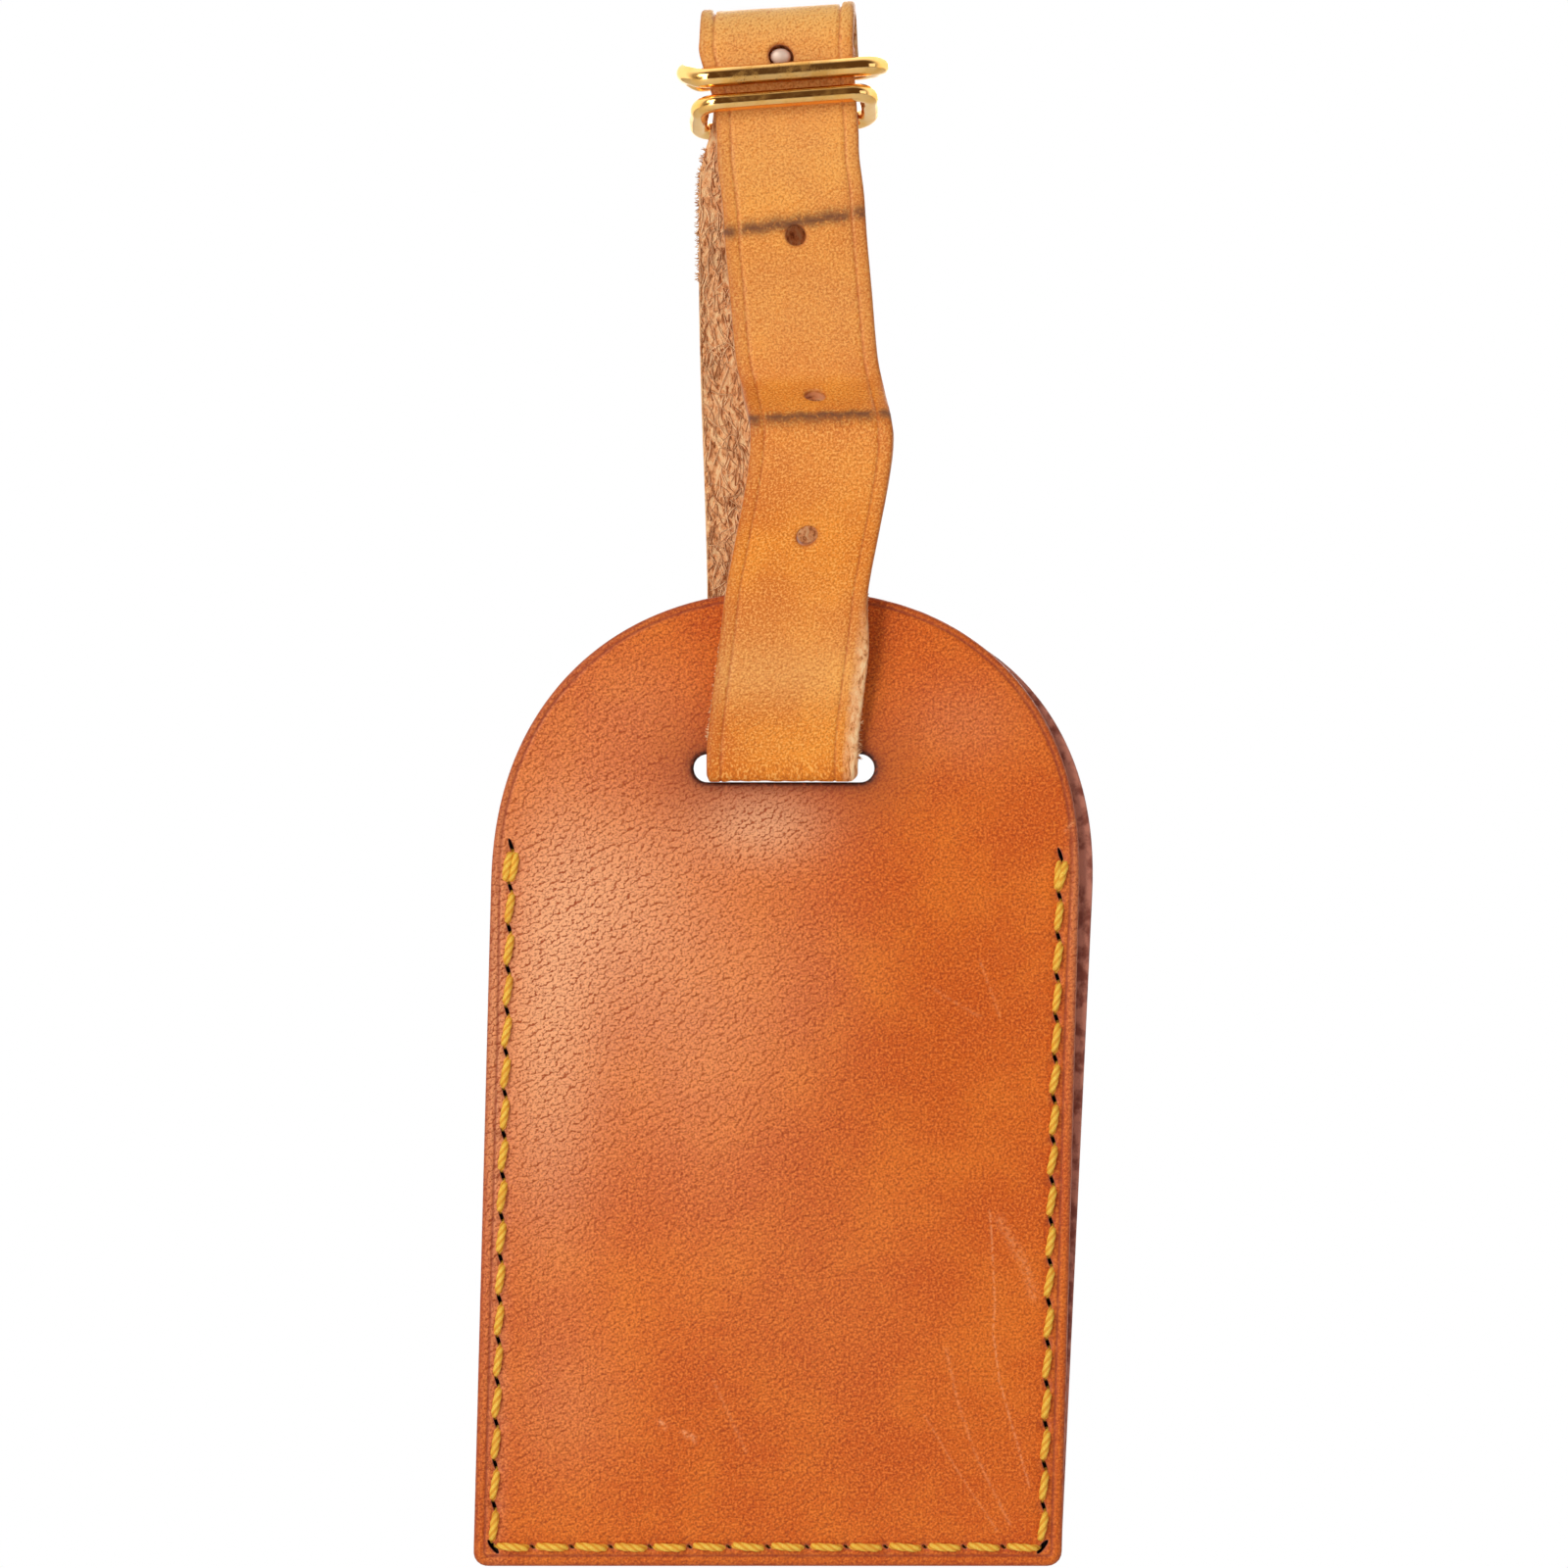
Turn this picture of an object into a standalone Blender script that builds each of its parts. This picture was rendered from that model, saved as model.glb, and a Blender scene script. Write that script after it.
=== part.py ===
"""Leather luggage tag: two sewn plies with a card pocket, hung on a buckled strap.

Metres, +Z up. The tag hangs, its front facing -Y. The origin is the place inside the top of the
strap loop where a bag's handle goes through.
"""

import math

import bmesh
import bpy
from mathutils import Matrix, Vector

MM = 0.001

# Tag body, in mm
HALF_WIDTH = 33.1
ARCH_TOP = -41.2
ARCH_HEIGHT = 33.2
ARCH_POWER = 2.25  # 2 is an ellipse, more is fuller
BODY_BOTTOM = -151.0
CORNER = 1.6
SIDE_LEAN = 0.026  # the sides lean this much sideways for each mm of height
BACK_LEAN = 0.047  # the back ply was sewn a little askew
BACK_ARCH_DROP = 1.5
PANEL_THICK = 1.9
PLY_GAP = 0.2
EDGE_ROUND = 0.35
ARCH_STEPS = 14
CORNER_STEPS = 4
THROUGH_PLIES = 8.0  # depth of the cutters that go through both plies

# Slot for the strap, in mm
SLOT_TOP = -59.65
SLOT_BOTTOM = -62.8
SLOT_HALF_LENGTH = 10.2
BODY_MIDDLE_AT_SLOT = 0.5  # where the body's middle line is, sideways, at the slot's height

# Card pocket, in mm
CARD_WIDTH = 52.0
CARD_HEIGHT = 74.0
CARD_THICK = 0.4
CARD_BOTTOM = -147.6
POCKET_WIDTH = 56.0
CARD_CORNER = 1.5
POCKET_BOTTOM = -148.1
POCKET_DEPTH = 0.9
POCKET_TOP_WALL = 0.8  # leather left between the pocket and the slot
FILM_WIDTH = 50.0
FILM_HEIGHT = 68.0
FILM_THICK = 0.25
FILM_CORNER = 1.0
WINDOW_WIDTH = 40.0
WINDOW_HEIGHT = 58.0
WINDOW_CORNER = 3.0
LAYER_GAP = 0.1

# Seam, in mm
SEAM_TOP_LEFT = -70.0
SEAM_TOP_RIGHT = -71.0
SEAM_BOTTOM = -148.8
SEAM_INSET = 2.2
SIDE_STITCHES = 17
BOTTOM_STITCHES = 14
THREAD_RADIUS = 0.33
THREAD_LIFT = 0.05  # air under a stitch
THREAD_DIP = 0.75  # how deep a stitch goes into its hole
STITCH_HOLE_LENGTH = 1.9
STITCH_HOLE_WIDTH = 1.1
STITCH_SLANT = 8.0  # degrees
CORNER_TURN = 45.0  # the two corner holes are square to the diagonal, as wide as they are long

# Strap, in mm
STRAP_HALF = 8.0
STRAP_THICK = 1.5
STRAP_EDGE = 0.25
AIR = 0.3  # between the strap and what it wraps
SLOT_FLOOR_AIR = 0.4
TONGUE_HALF = 6.0
FOLD_HALF = 8.7
FOLD_X = (-0.9, -0.3)  # the strap's middle as it goes over the top, front to back
BUCKLE_ROLL = 3.5  # degrees: the strap's top sits a little askew
RING_ROLL = 4.3  # degrees: and both rings a little more
ROLL_FADE = 12.0
HOLE_RADIUS = 1.15
HOLE_CUT_DEPTH = 2.6  # short enough to miss the strap's other run
TOP_HOLE_Z = 18.7
HOLE_HEIGHTS = (TOP_HOLE_Z, -1.4, -20.1, -35.1)

# Brass, in mm
FRAME_WIRE = 1.15
FRAME_HALF_WIDTH = 10.5
KEEPER_WIRE = 1.0
KEEPER_HALF_WIDTH = 9.7
RING_CORNER = 2.0
HEEL_BAR = (2.2, 17.1)
FRAME_FRONT_BAR = (-3.95, 16.87)
KEEPER_FRONT_BAR = (-3.8, 13.99)
KEEPER_BACK_BAR = (4.85, 11.6)
PRONG_RADIUS = 0.65
PRONG_TIP = (-2.2, 18.7)
PRONG_AIR = 0.2
PRONG_HOOK_STEPS = 10
PRONG_HOOK_TURN = 28.0  # degrees to a step
PRONG_SLOT_HALF = 1.2
PRONG_SLOT_BELOW_BAR = 4.0
PRONG_SLOT_ABOVE_BAR = 3.2
RIVET_Z = 4.5
RIVET_STEM = 1.1
RIVET_HEAD = 2.2
RIVET_HEAD_THICK = 0.6
RIVET_EDGE = 0.4
RIVET_GAP = 0.15
RIVET_END_AIR = 0.2
RIVET_DOME = 0.7  # the flat top of the cap, as a share of its radius
RIVET_HOLE = RIVET_STEM + 0.3
RIVET_CAP_THICK = 1.2
RIVET_SOCKET = 0.7
RIVET_SOCKET_RADIUS = RIVET_STEM + 0.2
RIVET_SIDES = 20

FOLD_RADIUS = FRAME_WIRE + AIR + STRAP_THICK / 2
BEND_RADIUS = AIR + STRAP_THICK / 2
FRONT_RUN_Y = -1.8
BACK_RUN_Y = 1.8  # at the rivet
TIP_RUN_Y = 6.2
TIP_Z = 14.6
TOP_FOLD_Z = 20.0
TIP_ROUNDING = 0.93  # 1 would bring the tip to a point on its end

# The strap's middle line as (x, y, z, yaw): up the tongue, over the heel bar, down the back run.
TONGUE_LINE = ((0.0, 0.0, 1.0, 0.0), (0.0, 0.0, 8.0, 0.0), (0.0, 0.0, 14.0, 0.0))
BACK_RUN_LINE = (
    (0.0, 4.2, 15.0, 0.0),
    (0.0, 3.3, 13.0, 0.0),
    (-0.3, 2.3, 11.0, 0.0),
    (-0.9, 1.85, 9.0, 0.0),
    (-1.5, 1.8, 6.5, 0.0),
    (-1.65, 1.8, 2.0, 0.0),
    (-1.65, 2.9, -3.0, 0.0),
    (-1.6, 4.4, -10.0, 0.0),
    (-1.4, 5.5, -19.0, 0.0),
    (-1.0, 5.9, -30.0, 0.0),
    (-0.7, 5.8, -41.0, 0.0),
    (-0.7, 5.0, -51.0, 0.0),
    (-0.7, 3.7, -58.0, 0.0),
)
# Up the front run, with the kink where the strap stands out from the bag's handle.
FRONT_RUN_LINE = (
    (-0.65, -3.2, -58.6, 0.0),
    (0.1, -3.75, -52.0, -2.0),
    (0.85, -4.5, -46.5, -3.0),
    (1.5, -5.5, -41.0, -4.0),
    (2.6, -7.2, -35.2, -5.0),
    (3.6, -8.9, -30.0, -6.0),
    (4.15, -9.8, -26.0, -6.0),
    (4.2, -9.9, -23.9, -6.0),
    (4.0, -9.0, -22.3, -6.0),
    (3.5, -6.0, -20.1, -5.0),
    (3.1, -3.5, -18.0, -4.0),
    (2.6, -2.85, -15.5, -2.0),
    (1.9, -2.7, -8.0, 0.0),
    (1.35, -2.75, -2.0, 2.0),
    (1.0, -2.7, 3.0, 2.0),
    (0.5, -2.35, 7.0, 1.0),
    (0.4, -1.85, 10.0, 0.0),
    (0.1, -1.8, 14.0, 0.0),
)

LEATHER = (0.52, 0.16, 0.03, 1.0)
LEATHER_BACK = (0.42, 0.13, 0.03, 1.0)
STRAP_LEATHER = (0.78, 0.32, 0.08, 1.0)
BRASS = (0.86, 0.58, 0.16, 1.0)
THREAD = (0.85, 0.45, 0.05, 1.0)
PAPER = (0.86, 0.84, 0.78, 1.0)
FILM = (0.85, 0.88, 0.9, 1.0)


# ---------------------------------------------------------------- helpers


def clear_scene():
    for obj in list(bpy.data.objects):
        bpy.data.objects.remove(obj)


def new_collection(name):
    collection = bpy.data.collections.new(name)
    bpy.context.scene.collection.children.link(collection)
    return collection


def new_material(name, colour, roughness, metallic=0.0, alpha=1.0):
    material = bpy.data.materials.new(name)
    material.use_nodes = True
    shader = material.node_tree.nodes["Principled BSDF"]
    shader.inputs["Base Color"].default_value = colour
    shader.inputs["Roughness"].default_value = roughness
    shader.inputs["Metallic"].default_value = metallic
    shader.inputs["Alpha"].default_value = alpha
    return material


def point(x, y, z):
    return Vector((x, y, z)) * MM


def add_object(name, data, collection, material=None):
    obj = bpy.data.objects.new(name, data)
    collection.objects.link(obj)
    if material:
        data.materials.append(material)
    return obj


def shade_smooth(obj):
    for polygon in obj.data.polygons:
        polygon.use_smooth = True


def curve_to_mesh(name, curve, collection, material, matrix):
    """Turns a curve into a welded mesh object of the same place and shape."""
    draft = bpy.data.objects.new(name + "_draft", curve)
    draft.matrix_world = matrix
    bpy.context.scene.collection.objects.link(draft)
    bpy.context.view_layer.update()
    graph = bpy.context.evaluated_depsgraph_get()
    mesh = bpy.data.meshes.new_from_object(draft.evaluated_get(graph))
    bpy.data.objects.remove(draft)
    welded = bmesh.new()
    welded.from_mesh(mesh)
    bmesh.ops.remove_doubles(welded, verts=welded.verts, dist=1e-6)
    bmesh.ops.recalc_face_normals(welded, faces=welded.faces)
    welded.to_mesh(mesh)
    welded.free()
    obj = add_object(name, mesh, collection, material)
    obj.matrix_world = matrix
    return obj


def add_spline(curve, points, cyclic):
    spline = curve.splines.new("POLY")
    spline.points.add(len(points) - 1)
    for target, place in zip(spline.points, points):
        target.co = (*place, 1.0)
    spline.use_cyclic_u = cyclic


def new_plate(name, outline, y_middle, thick, collection, material=None):
    """A flat sheet in the X-Z plane. The outline is in mm, as (x, z) points."""
    curve = bpy.data.curves.new(name, "CURVE")
    curve.dimensions = "2D"
    curve.fill_mode = "BOTH"
    curve.extrude = thick / 2 * MM
    add_spline(curve, [Vector((x * MM, z * MM, 0.0)) for x, z in outline], True)
    matrix = Matrix.Translation((0.0, y_middle * MM, 0.0)) @ Matrix.Rotation(math.radians(90), 4, "X")
    return curve_to_mesh(name, curve, collection, material, matrix)


def new_wire(name, points, radius, cyclic, sides_level, collection, material):
    """A round wire or thread along points in mm."""
    curve = bpy.data.curves.new(name, "CURVE")
    curve.dimensions = "3D"
    curve.bevel_depth = radius * MM
    curve.bevel_resolution = sides_level
    curve.use_fill_caps = not cyclic
    add_spline(curve, [point(*place) for place in points], cyclic)
    obj = curve_to_mesh(name, curve, collection, material, Matrix.Identity(4))
    shade_smooth(obj)
    return obj


def new_cutter(name, shape, matrix, collection):
    obj = add_object(name, shape, collection)
    obj.matrix_world = matrix
    obj.hide_render = True
    obj.display_type = "WIRE"
    return obj


def box_mesh(name, size):
    mesh = bpy.data.meshes.new(name)
    shape = bmesh.new()
    bmesh.ops.create_cube(shape, size=1.0)
    bmesh.ops.scale(shape, vec=Vector(size) * MM, verts=shape.verts)
    shape.to_mesh(mesh)
    shape.free()
    return mesh


def cylinder_mesh(name, radius, depth, sides):
    mesh = bpy.data.meshes.new(name)
    shape = bmesh.new()
    bmesh.ops.create_cone(
        shape, cap_ends=True, segments=sides, radius1=radius * MM, radius2=radius * MM, depth=depth * MM
    )
    shape.to_mesh(mesh)
    shape.free()
    return mesh


def cut(obj, cutter):
    modifier = obj.modifiers.new("cut_" + cutter.name, "BOOLEAN")
    modifier.operation = "DIFFERENCE"
    modifier.solver = "EXACT"
    modifier.object = cutter


def round_edges(obj, width, least_angle):
    modifier = obj.modifiers.new("rounded_edges", "BEVEL")
    modifier.width = width * MM
    modifier.segments = 1
    modifier.limit_method = "ANGLE"
    modifier.angle_limit = math.radians(least_angle)


def corner_arc(middle, radius, start, stop, steps):
    """Points round an arc, in degrees."""
    places = []
    for step in range(steps + 1):
        angle = math.radians(start + (stop - start) * step / steps)
        places.append((middle[0] + radius * math.cos(angle), middle[1] + radius * math.sin(angle)))
    return places


def rounded_rectangle(half_width, half_height, radius, steps):
    x, z = half_width - radius, half_height - radius
    places = []
    for quarter, (side_x, side_z) in enumerate(((x, z), (-x, z), (-x, -z), (x, -z))):
        places += corner_arc((side_x, side_z), radius, 90 * quarter, 90 * quarter + 90, steps)
    return places


# ---------------------------------------------------------------- tag body


def body_middle(z, lean=SIDE_LEAN):
    """Sideways place of the body's middle line at a height."""
    foot = BODY_MIDDLE_AT_SLOT + SIDE_LEAN * (BODY_BOTTOM - SLOT_TOP)
    return foot + lean * (z - BODY_BOTTOM)


def body_outline(arch_top, lean):
    right = []
    for step in range(ARCH_STEPS + 1):
        turn = math.radians(90 * step / ARCH_STEPS)
        across = HALF_WIDTH * math.cos(turn) ** (2 / ARCH_POWER)
        up = ARCH_HEIGHT * math.sin(turn) ** (2 / ARCH_POWER)
        right.append((across, arch_top - ARCH_HEIGHT + up))
    corner = corner_arc((HALF_WIDTH - CORNER, BODY_BOTTOM + CORNER), CORNER, -90, 0, CORNER_STEPS)
    right = corner + right
    left = [(-x, z) for x, z in reversed(right[:-1])]
    return [(x + body_middle(z, lean), z) for x, z in right + left]


def seam_line():
    """Stitch holes (x, z, turn of the slit in degrees) down the left, across and up the right."""
    half = HALF_WIDTH - SEAM_INSET
    left, bottom, right = [], [], []
    for step in range(SIDE_STITCHES + 1):
        share = step / SIDE_STITCHES
        z = SEAM_TOP_LEFT + (SEAM_BOTTOM - SEAM_TOP_LEFT) * share
        left.append((body_middle(z) - half, z, 90.0))
        z = SEAM_TOP_RIGHT + (SEAM_BOTTOM - SEAM_TOP_RIGHT) * share
        right.insert(0, (body_middle(z) + half, z, 90.0))
    left[-1] = (*left[-1][:2], CORNER_TURN)
    right[0] = (*right[0][:2], CORNER_TURN)
    for step in range(1, BOTTOM_STITCHES):
        across = -half + 2 * half * step / BOTTOM_STITCHES
        bottom.append((body_middle(SEAM_BOTTOM) + across, SEAM_BOTTOM, 0.0))
    return left + bottom + right


def seam_hole_cutter(collection):
    """All the stitch holes as one cutter: slanted slits through both plies."""
    mesh = bpy.data.meshes.new("seam_holes_cutter")
    shape = bmesh.new()
    for x, z, turn in seam_line():
        slit = bmesh.ops.create_cube(shape, size=1.0)["verts"]
        width = STITCH_HOLE_LENGTH if turn == CORNER_TURN else STITCH_HOLE_WIDTH
        size = Vector((STITCH_HOLE_LENGTH, THROUGH_PLIES, width)) * MM
        bmesh.ops.scale(shape, vec=size, verts=slit)
        slant = Matrix.Rotation(math.radians(STITCH_SLANT - turn), 3, "Y")
        bmesh.ops.rotate(shape, matrix=slant, verts=slit)
        bmesh.ops.translate(shape, vec=point(x, 0.0, z), verts=slit)
    shape.to_mesh(mesh)
    shape.free()
    return new_cutter("seam_holes_cutter", mesh, Matrix.Identity(4), collection)


def pocket_middle():
    height = CARD_BOTTOM + CARD_HEIGHT / 2
    return body_middle(height), height


def build_panels(parts, cutters, front_leather, back_leather):
    slot_half = (SLOT_TOP - SLOT_BOTTOM) / 2
    slot_shape = rounded_rectangle(SLOT_HALF_LENGTH, slot_half, slot_half - 0.01, 5)
    slot_z = (SLOT_TOP + SLOT_BOTTOM) / 2
    slot_outline = [(x, z + slot_z) for x, z in slot_shape]
    slot = new_plate("slot_cutter", slot_outline, 0.0, THROUGH_PLIES, cutters)
    middle_x, middle_z = pocket_middle()
    window_shape = rounded_rectangle(WINDOW_WIDTH / 2, WINDOW_HEIGHT / 2, WINDOW_CORNER, 4)
    window_outline = [(x + middle_x, z + middle_z) for x, z in window_shape]
    window = new_plate("window_cutter", window_outline, THROUGH_PLIES / 2, THROUGH_PLIES, cutters)
    pocket_top = SLOT_BOTTOM - POCKET_TOP_WALL
    pocket = new_cutter(
        "pocket_cutter",
        box_mesh("pocket_cutter", (POCKET_WIDTH, 2 * POCKET_DEPTH, pocket_top - POCKET_BOTTOM)),
        Matrix.Translation(point(middle_x, PLY_GAP / 2, (pocket_top + POCKET_BOTTOM) / 2)),
        cutters,
    )
    seam_holes = seam_hole_cutter(cutters)
    for helper in (slot, window):
        helper.hide_render = True
        helper.display_type = "WIRE"

    inner = (PLY_GAP + PANEL_THICK) / 2
    front_outline = body_outline(ARCH_TOP, SIDE_LEAN)
    back_outline = body_outline(ARCH_TOP - BACK_ARCH_DROP, BACK_LEAN)
    front = new_plate("front_panel", front_outline, -inner, PANEL_THICK, parts, front_leather)
    back = new_plate("back_panel", back_outline, inner, PANEL_THICK, parts, back_leather)
    for panel in (front, back):
        round_edges(panel, EDGE_ROUND, 50)
        cut(panel, slot)
        cut(panel, seam_holes)
    cut(back, pocket)
    cut(back, window)


def build_card_and_film(parts, paper, clear):
    middle_x, middle_z = pocket_middle()
    card_y = PLY_GAP / 2 - LAYER_GAP / 2 + CARD_THICK / 2
    card_shape = rounded_rectangle(CARD_WIDTH / 2, CARD_HEIGHT / 2, CARD_CORNER, 3)
    card_outline = [(x + middle_x, z + middle_z) for x, z in card_shape]
    new_plate("name_card", card_outline, card_y, CARD_THICK, parts, paper)
    film_y = PLY_GAP / 2 + POCKET_DEPTH - LAYER_GAP - FILM_THICK / 2
    film_shape = rounded_rectangle(FILM_WIDTH / 2, FILM_HEIGHT / 2, FILM_CORNER, 3)
    film_outline = [(x + middle_x, z + middle_z) for x, z in film_shape]
    new_plate("window_film", film_outline, film_y, FILM_THICK, parts, clear)


def thread_path(side):
    """A lockstitch thread: it lies on the ply between the holes and dips into each of them."""
    face = PLY_GAP / 2 + PANEL_THICK
    crest = face + THREAD_RADIUS + THREAD_LIFT
    trough = face - THREAD_DIP
    holes = seam_line()
    places = []
    for (x0, z0, _), (x1, z1, _) in zip(holes, holes[1:]):
        start, end = Vector((x0, z0)), Vector((x1, z1))
        run = end - start
        reach = STITCH_HOLE_LENGTH / 2 / run.length
        for share, height in ((0.0, trough), (reach, crest), (1.0 - reach, crest)):
            spot = start + run * share
            places.append((spot.x, side * height, spot.y))
    x, z, _ = holes[-1]
    places.append((x, side * trough, z))
    return places


def build_threads(parts, material):
    for name, side in (("seam_thread_front", -1.0), ("seam_thread_back", 1.0)):
        new_wire(name, thread_path(side), THREAD_RADIUS, False, 1, parts, material)


# ---------------------------------------------------------------- strap


def arc_stations(middle, radius, start, stop, steps, x_start, x_end):
    """Strap stations round a bend in the Y-Z plane; the ends are left to the neighbouring lines."""
    places = []
    for step in range(steps + 1):
        share = step / steps
        angle = math.radians(start + (stop - start) * share)
        y = middle[0] + radius * math.cos(angle)
        z = middle[1] + radius * math.sin(angle)
        places.append((x_start + (x_end - x_start) * share, y, z, 0.0))
    return places


def strap_stations():
    """(x, y, z, yaw, half width) from the folded-back tongue round to the free tip."""
    heel = arc_stations(HEEL_BAR, FOLD_RADIUS, 180, 0, 8, 0.0, 0.0)
    slot_floor = SLOT_BOTTOM + SLOT_FLOOR_AIR + STRAP_THICK / 2
    panel_face = PLY_GAP / 2 + PANEL_THICK
    bend_z = slot_floor + BEND_RADIUS
    back_bend = arc_stations((panel_face, bend_z), BEND_RADIUS, 0, -90, 4, -0.7, -0.7)
    front_bend = arc_stations((-panel_face, bend_z), BEND_RADIUS, -90, -180, 4, -0.7, -0.7)
    fold_radius = (TIP_RUN_Y - FRONT_RUN_Y) / 2
    fold = arc_stations((FRONT_RUN_Y + fold_radius, TOP_FOLD_Z), fold_radius, 180, 0, 12, *FOLD_X)

    tongue = [(*place, TONGUE_HALF) for place in TONGUE_LINE]
    ring_part = [(*place, STRAP_HALF) for place in heel]
    runs = [*BACK_RUN_LINE, *back_bend, *front_bend, *FRONT_RUN_LINE]
    ring_part += [(*place, STRAP_HALF) for place in runs]
    over = [(*place, FOLD_HALF) for place in fold]
    tip = []
    for share in (0.35, 0.65, 0.85, 1.0):
        half = FOLD_HALF * math.sqrt(1.0 - (TIP_ROUNDING * share) ** 2)
        z = TOP_FOLD_Z + (TIP_Z - TOP_FOLD_Z) * share
        tip.append((0.0, TIP_RUN_Y, z, 0.0, half))
    return tongue + ring_part + over + tip


def station_across(z, yaw):
    """Unit vector across the strap: the yaw turns it about Z and the roll about Y."""
    roll = math.radians(BUCKLE_ROLL) * min(1.0, max(0.0, (z + ROLL_FADE) / ROLL_FADE))
    turned = math.radians(yaw)
    return Vector((math.cos(turned) * math.cos(roll), math.sin(turned), math.sin(roll)))


def strap_hole_places(stations):
    """The holes of the front run, as (place, tangent), from the top one down."""
    front = [Vector(s[:3]) for s in stations if s[1] < -1.5 and s[2] > -60.0]
    front.reverse()
    while front[0].z > TOP_HOLE_Z:
        front.pop(0)
    front.insert(0, Vector((front[0].x, FRONT_RUN_Y, TOP_HOLE_Z)))
    places = []
    for height in HOLE_HEIGHTS:
        for start, end in zip(front, front[1:]):
            if start.z >= height > end.z:
                share = (start.z - height) / (start.z - end.z)
                places.append((start.lerp(end, share), (end - start).normalized()))
    return places


def build_strap(parts, cutters, material):
    stations = strap_stations()
    shape = bmesh.new()
    previous = None
    for x, y, z, yaw, half in stations:
        across = station_across(z, yaw) * half
        middle = Vector((x, y, z))
        row = [shape.verts.new((middle + across * side) * MM) for side in (-1.0, 0.0, 1.0)]
        if previous:
            for left, right in ((0, 1), (1, 2)):
                shape.faces.new((previous[left], previous[right], row[right], row[left]))
        previous = row
    mesh = bpy.data.meshes.new("strap")
    shape.to_mesh(mesh)
    shape.free()
    strap = add_object("strap", mesh, parts, material)
    solid = strap.modifiers.new("thickness", "SOLIDIFY")
    solid.thickness = STRAP_THICK * MM
    solid.offset = 0.0
    solid.use_even_offset = True
    round_edges(strap, STRAP_EDGE, 60)

    for number, (place, tangent) in enumerate(strap_hole_places(stations)):
        # The hole's axis is square to the strap, in the Y-Z plane.
        axis = Vector((0.0, -tangent.z, tangent.y)).normalized()
        turn = Vector((0.0, 0.0, 1.0)).rotation_difference(axis).to_matrix().to_4x4()
        shape = cylinder_mesh("strap_hole_cutter", HOLE_RADIUS, HOLE_CUT_DEPTH, 14)
        matrix = Matrix.Translation(place * MM) @ turn
        cut(strap, new_cutter(f"strap_hole_cutter_{number}", shape, matrix, cutters))

    # The prong's slot is open from the tongue over the heel bar to the back run.
    slot_depth = 2 * (FOLD_RADIUS + STRAP_THICK)
    slot_height = PRONG_SLOT_BELOW_BAR + PRONG_SLOT_ABOVE_BAR
    slot = box_mesh("prong_slot_cutter", (2 * PRONG_SLOT_HALF, slot_depth, slot_height))
    slot_z = HEEL_BAR[1] + (PRONG_SLOT_ABOVE_BAR - PRONG_SLOT_BELOW_BAR) / 2
    slot_place = Matrix.Translation(point(0.0, HEEL_BAR[0] + AIR, slot_z))
    cut(strap, new_cutter("prong_slot_cutter", slot, slot_place, cutters))

    # The rivet's hole goes through the tongue and the back run only.
    hole_depth = BACK_RUN_Y + 2 * STRAP_THICK
    rivet_hole = cylinder_mesh("rivet_hole_cutter", RIVET_HOLE, hole_depth, 16)
    rivet_turn = Matrix.Rotation(math.radians(90), 4, "X")
    rivet_place = Matrix.Translation(point(0.0, BACK_RUN_Y / 2, RIVET_Z)) @ rivet_turn
    cut(strap, new_cutter("rivet_hole_cutter", rivet_hole, rivet_place, cutters))


# ---------------------------------------------------------------- brass


def rolled(y, z):
    """Matrix of the buckle's own frame at a bar: a little askew about Y."""
    return Matrix.Translation(point(0.0, y, z)) @ Matrix.Rotation(math.radians(-RING_ROLL), 4, "Y")


def build_ring(name, half_width, front_bar, back_bar, wire, pivot, parts, material):
    """A wire ring through two bars. Its origin lies on the pivot bar."""
    front, back = Vector(front_bar), Vector(back_bar)
    middle, depth = (front + back) / 2, (back - front)
    half_depth = depth.length / 2
    along = depth.normalized()
    outline = rounded_rectangle(half_width, half_depth, RING_CORNER, 5)
    places = []
    for x, offset in outline:
        spot = middle + along * offset - Vector(pivot)
        places.append((x, spot.x, spot.y))
    ring = new_wire(name, places, wire, True, 3, parts, material)
    ring.matrix_world = rolled(*pivot)
    return ring


def build_prong(parts, material):
    """A wire hooked round the heel bar, its shank reaching forward into the strap's top hole."""
    radius = FRAME_WIRE + PRONG_AIR + PRONG_RADIUS
    tip = Vector(PRONG_TIP) - Vector(HEEL_BAR)
    reach = tip.length
    tip_angle = math.degrees(math.atan2(tip.y, tip.x))
    leave = tip_angle - math.degrees(math.acos(radius / reach))
    places = [(0.0, tip.x, tip.y)]
    for step in range(PRONG_HOOK_STEPS + 1):
        angle = math.radians(leave - PRONG_HOOK_TURN * step)
        places.append((0.0, radius * math.cos(angle), radius * math.sin(angle)))
    prong = new_wire("buckle_prong", places, PRONG_RADIUS, False, 2, parts, material)
    prong.matrix_world = rolled(*HEEL_BAR)


def turned(name, profile, steps, y, z, parts, material):
    """A Screw shape turned about the Y axis from (radius, height) points, outer side first."""
    mesh = bpy.data.meshes.new(name)
    outline = bmesh.new()
    verts = [outline.verts.new((radius * MM, 0.0, height * MM)) for radius, height in profile]
    for start, end in zip(verts, verts[1:]):
        outline.edges.new((start, end))
    outline.to_mesh(mesh)
    outline.free()
    obj = add_object(name, mesh, parts, material)
    screw = obj.modifiers.new("turned", "SCREW")
    screw.steps = steps
    screw.render_steps = steps
    screw.use_merge_vertices = True
    screw.merge_threshold = 1e-5
    # Height along the part's own axis becomes -Y, towards the front.
    obj.matrix_world = Matrix.Translation(point(0.0, y, z)) @ Matrix.Rotation(math.radians(90), 4, "X")
    return obj


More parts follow.
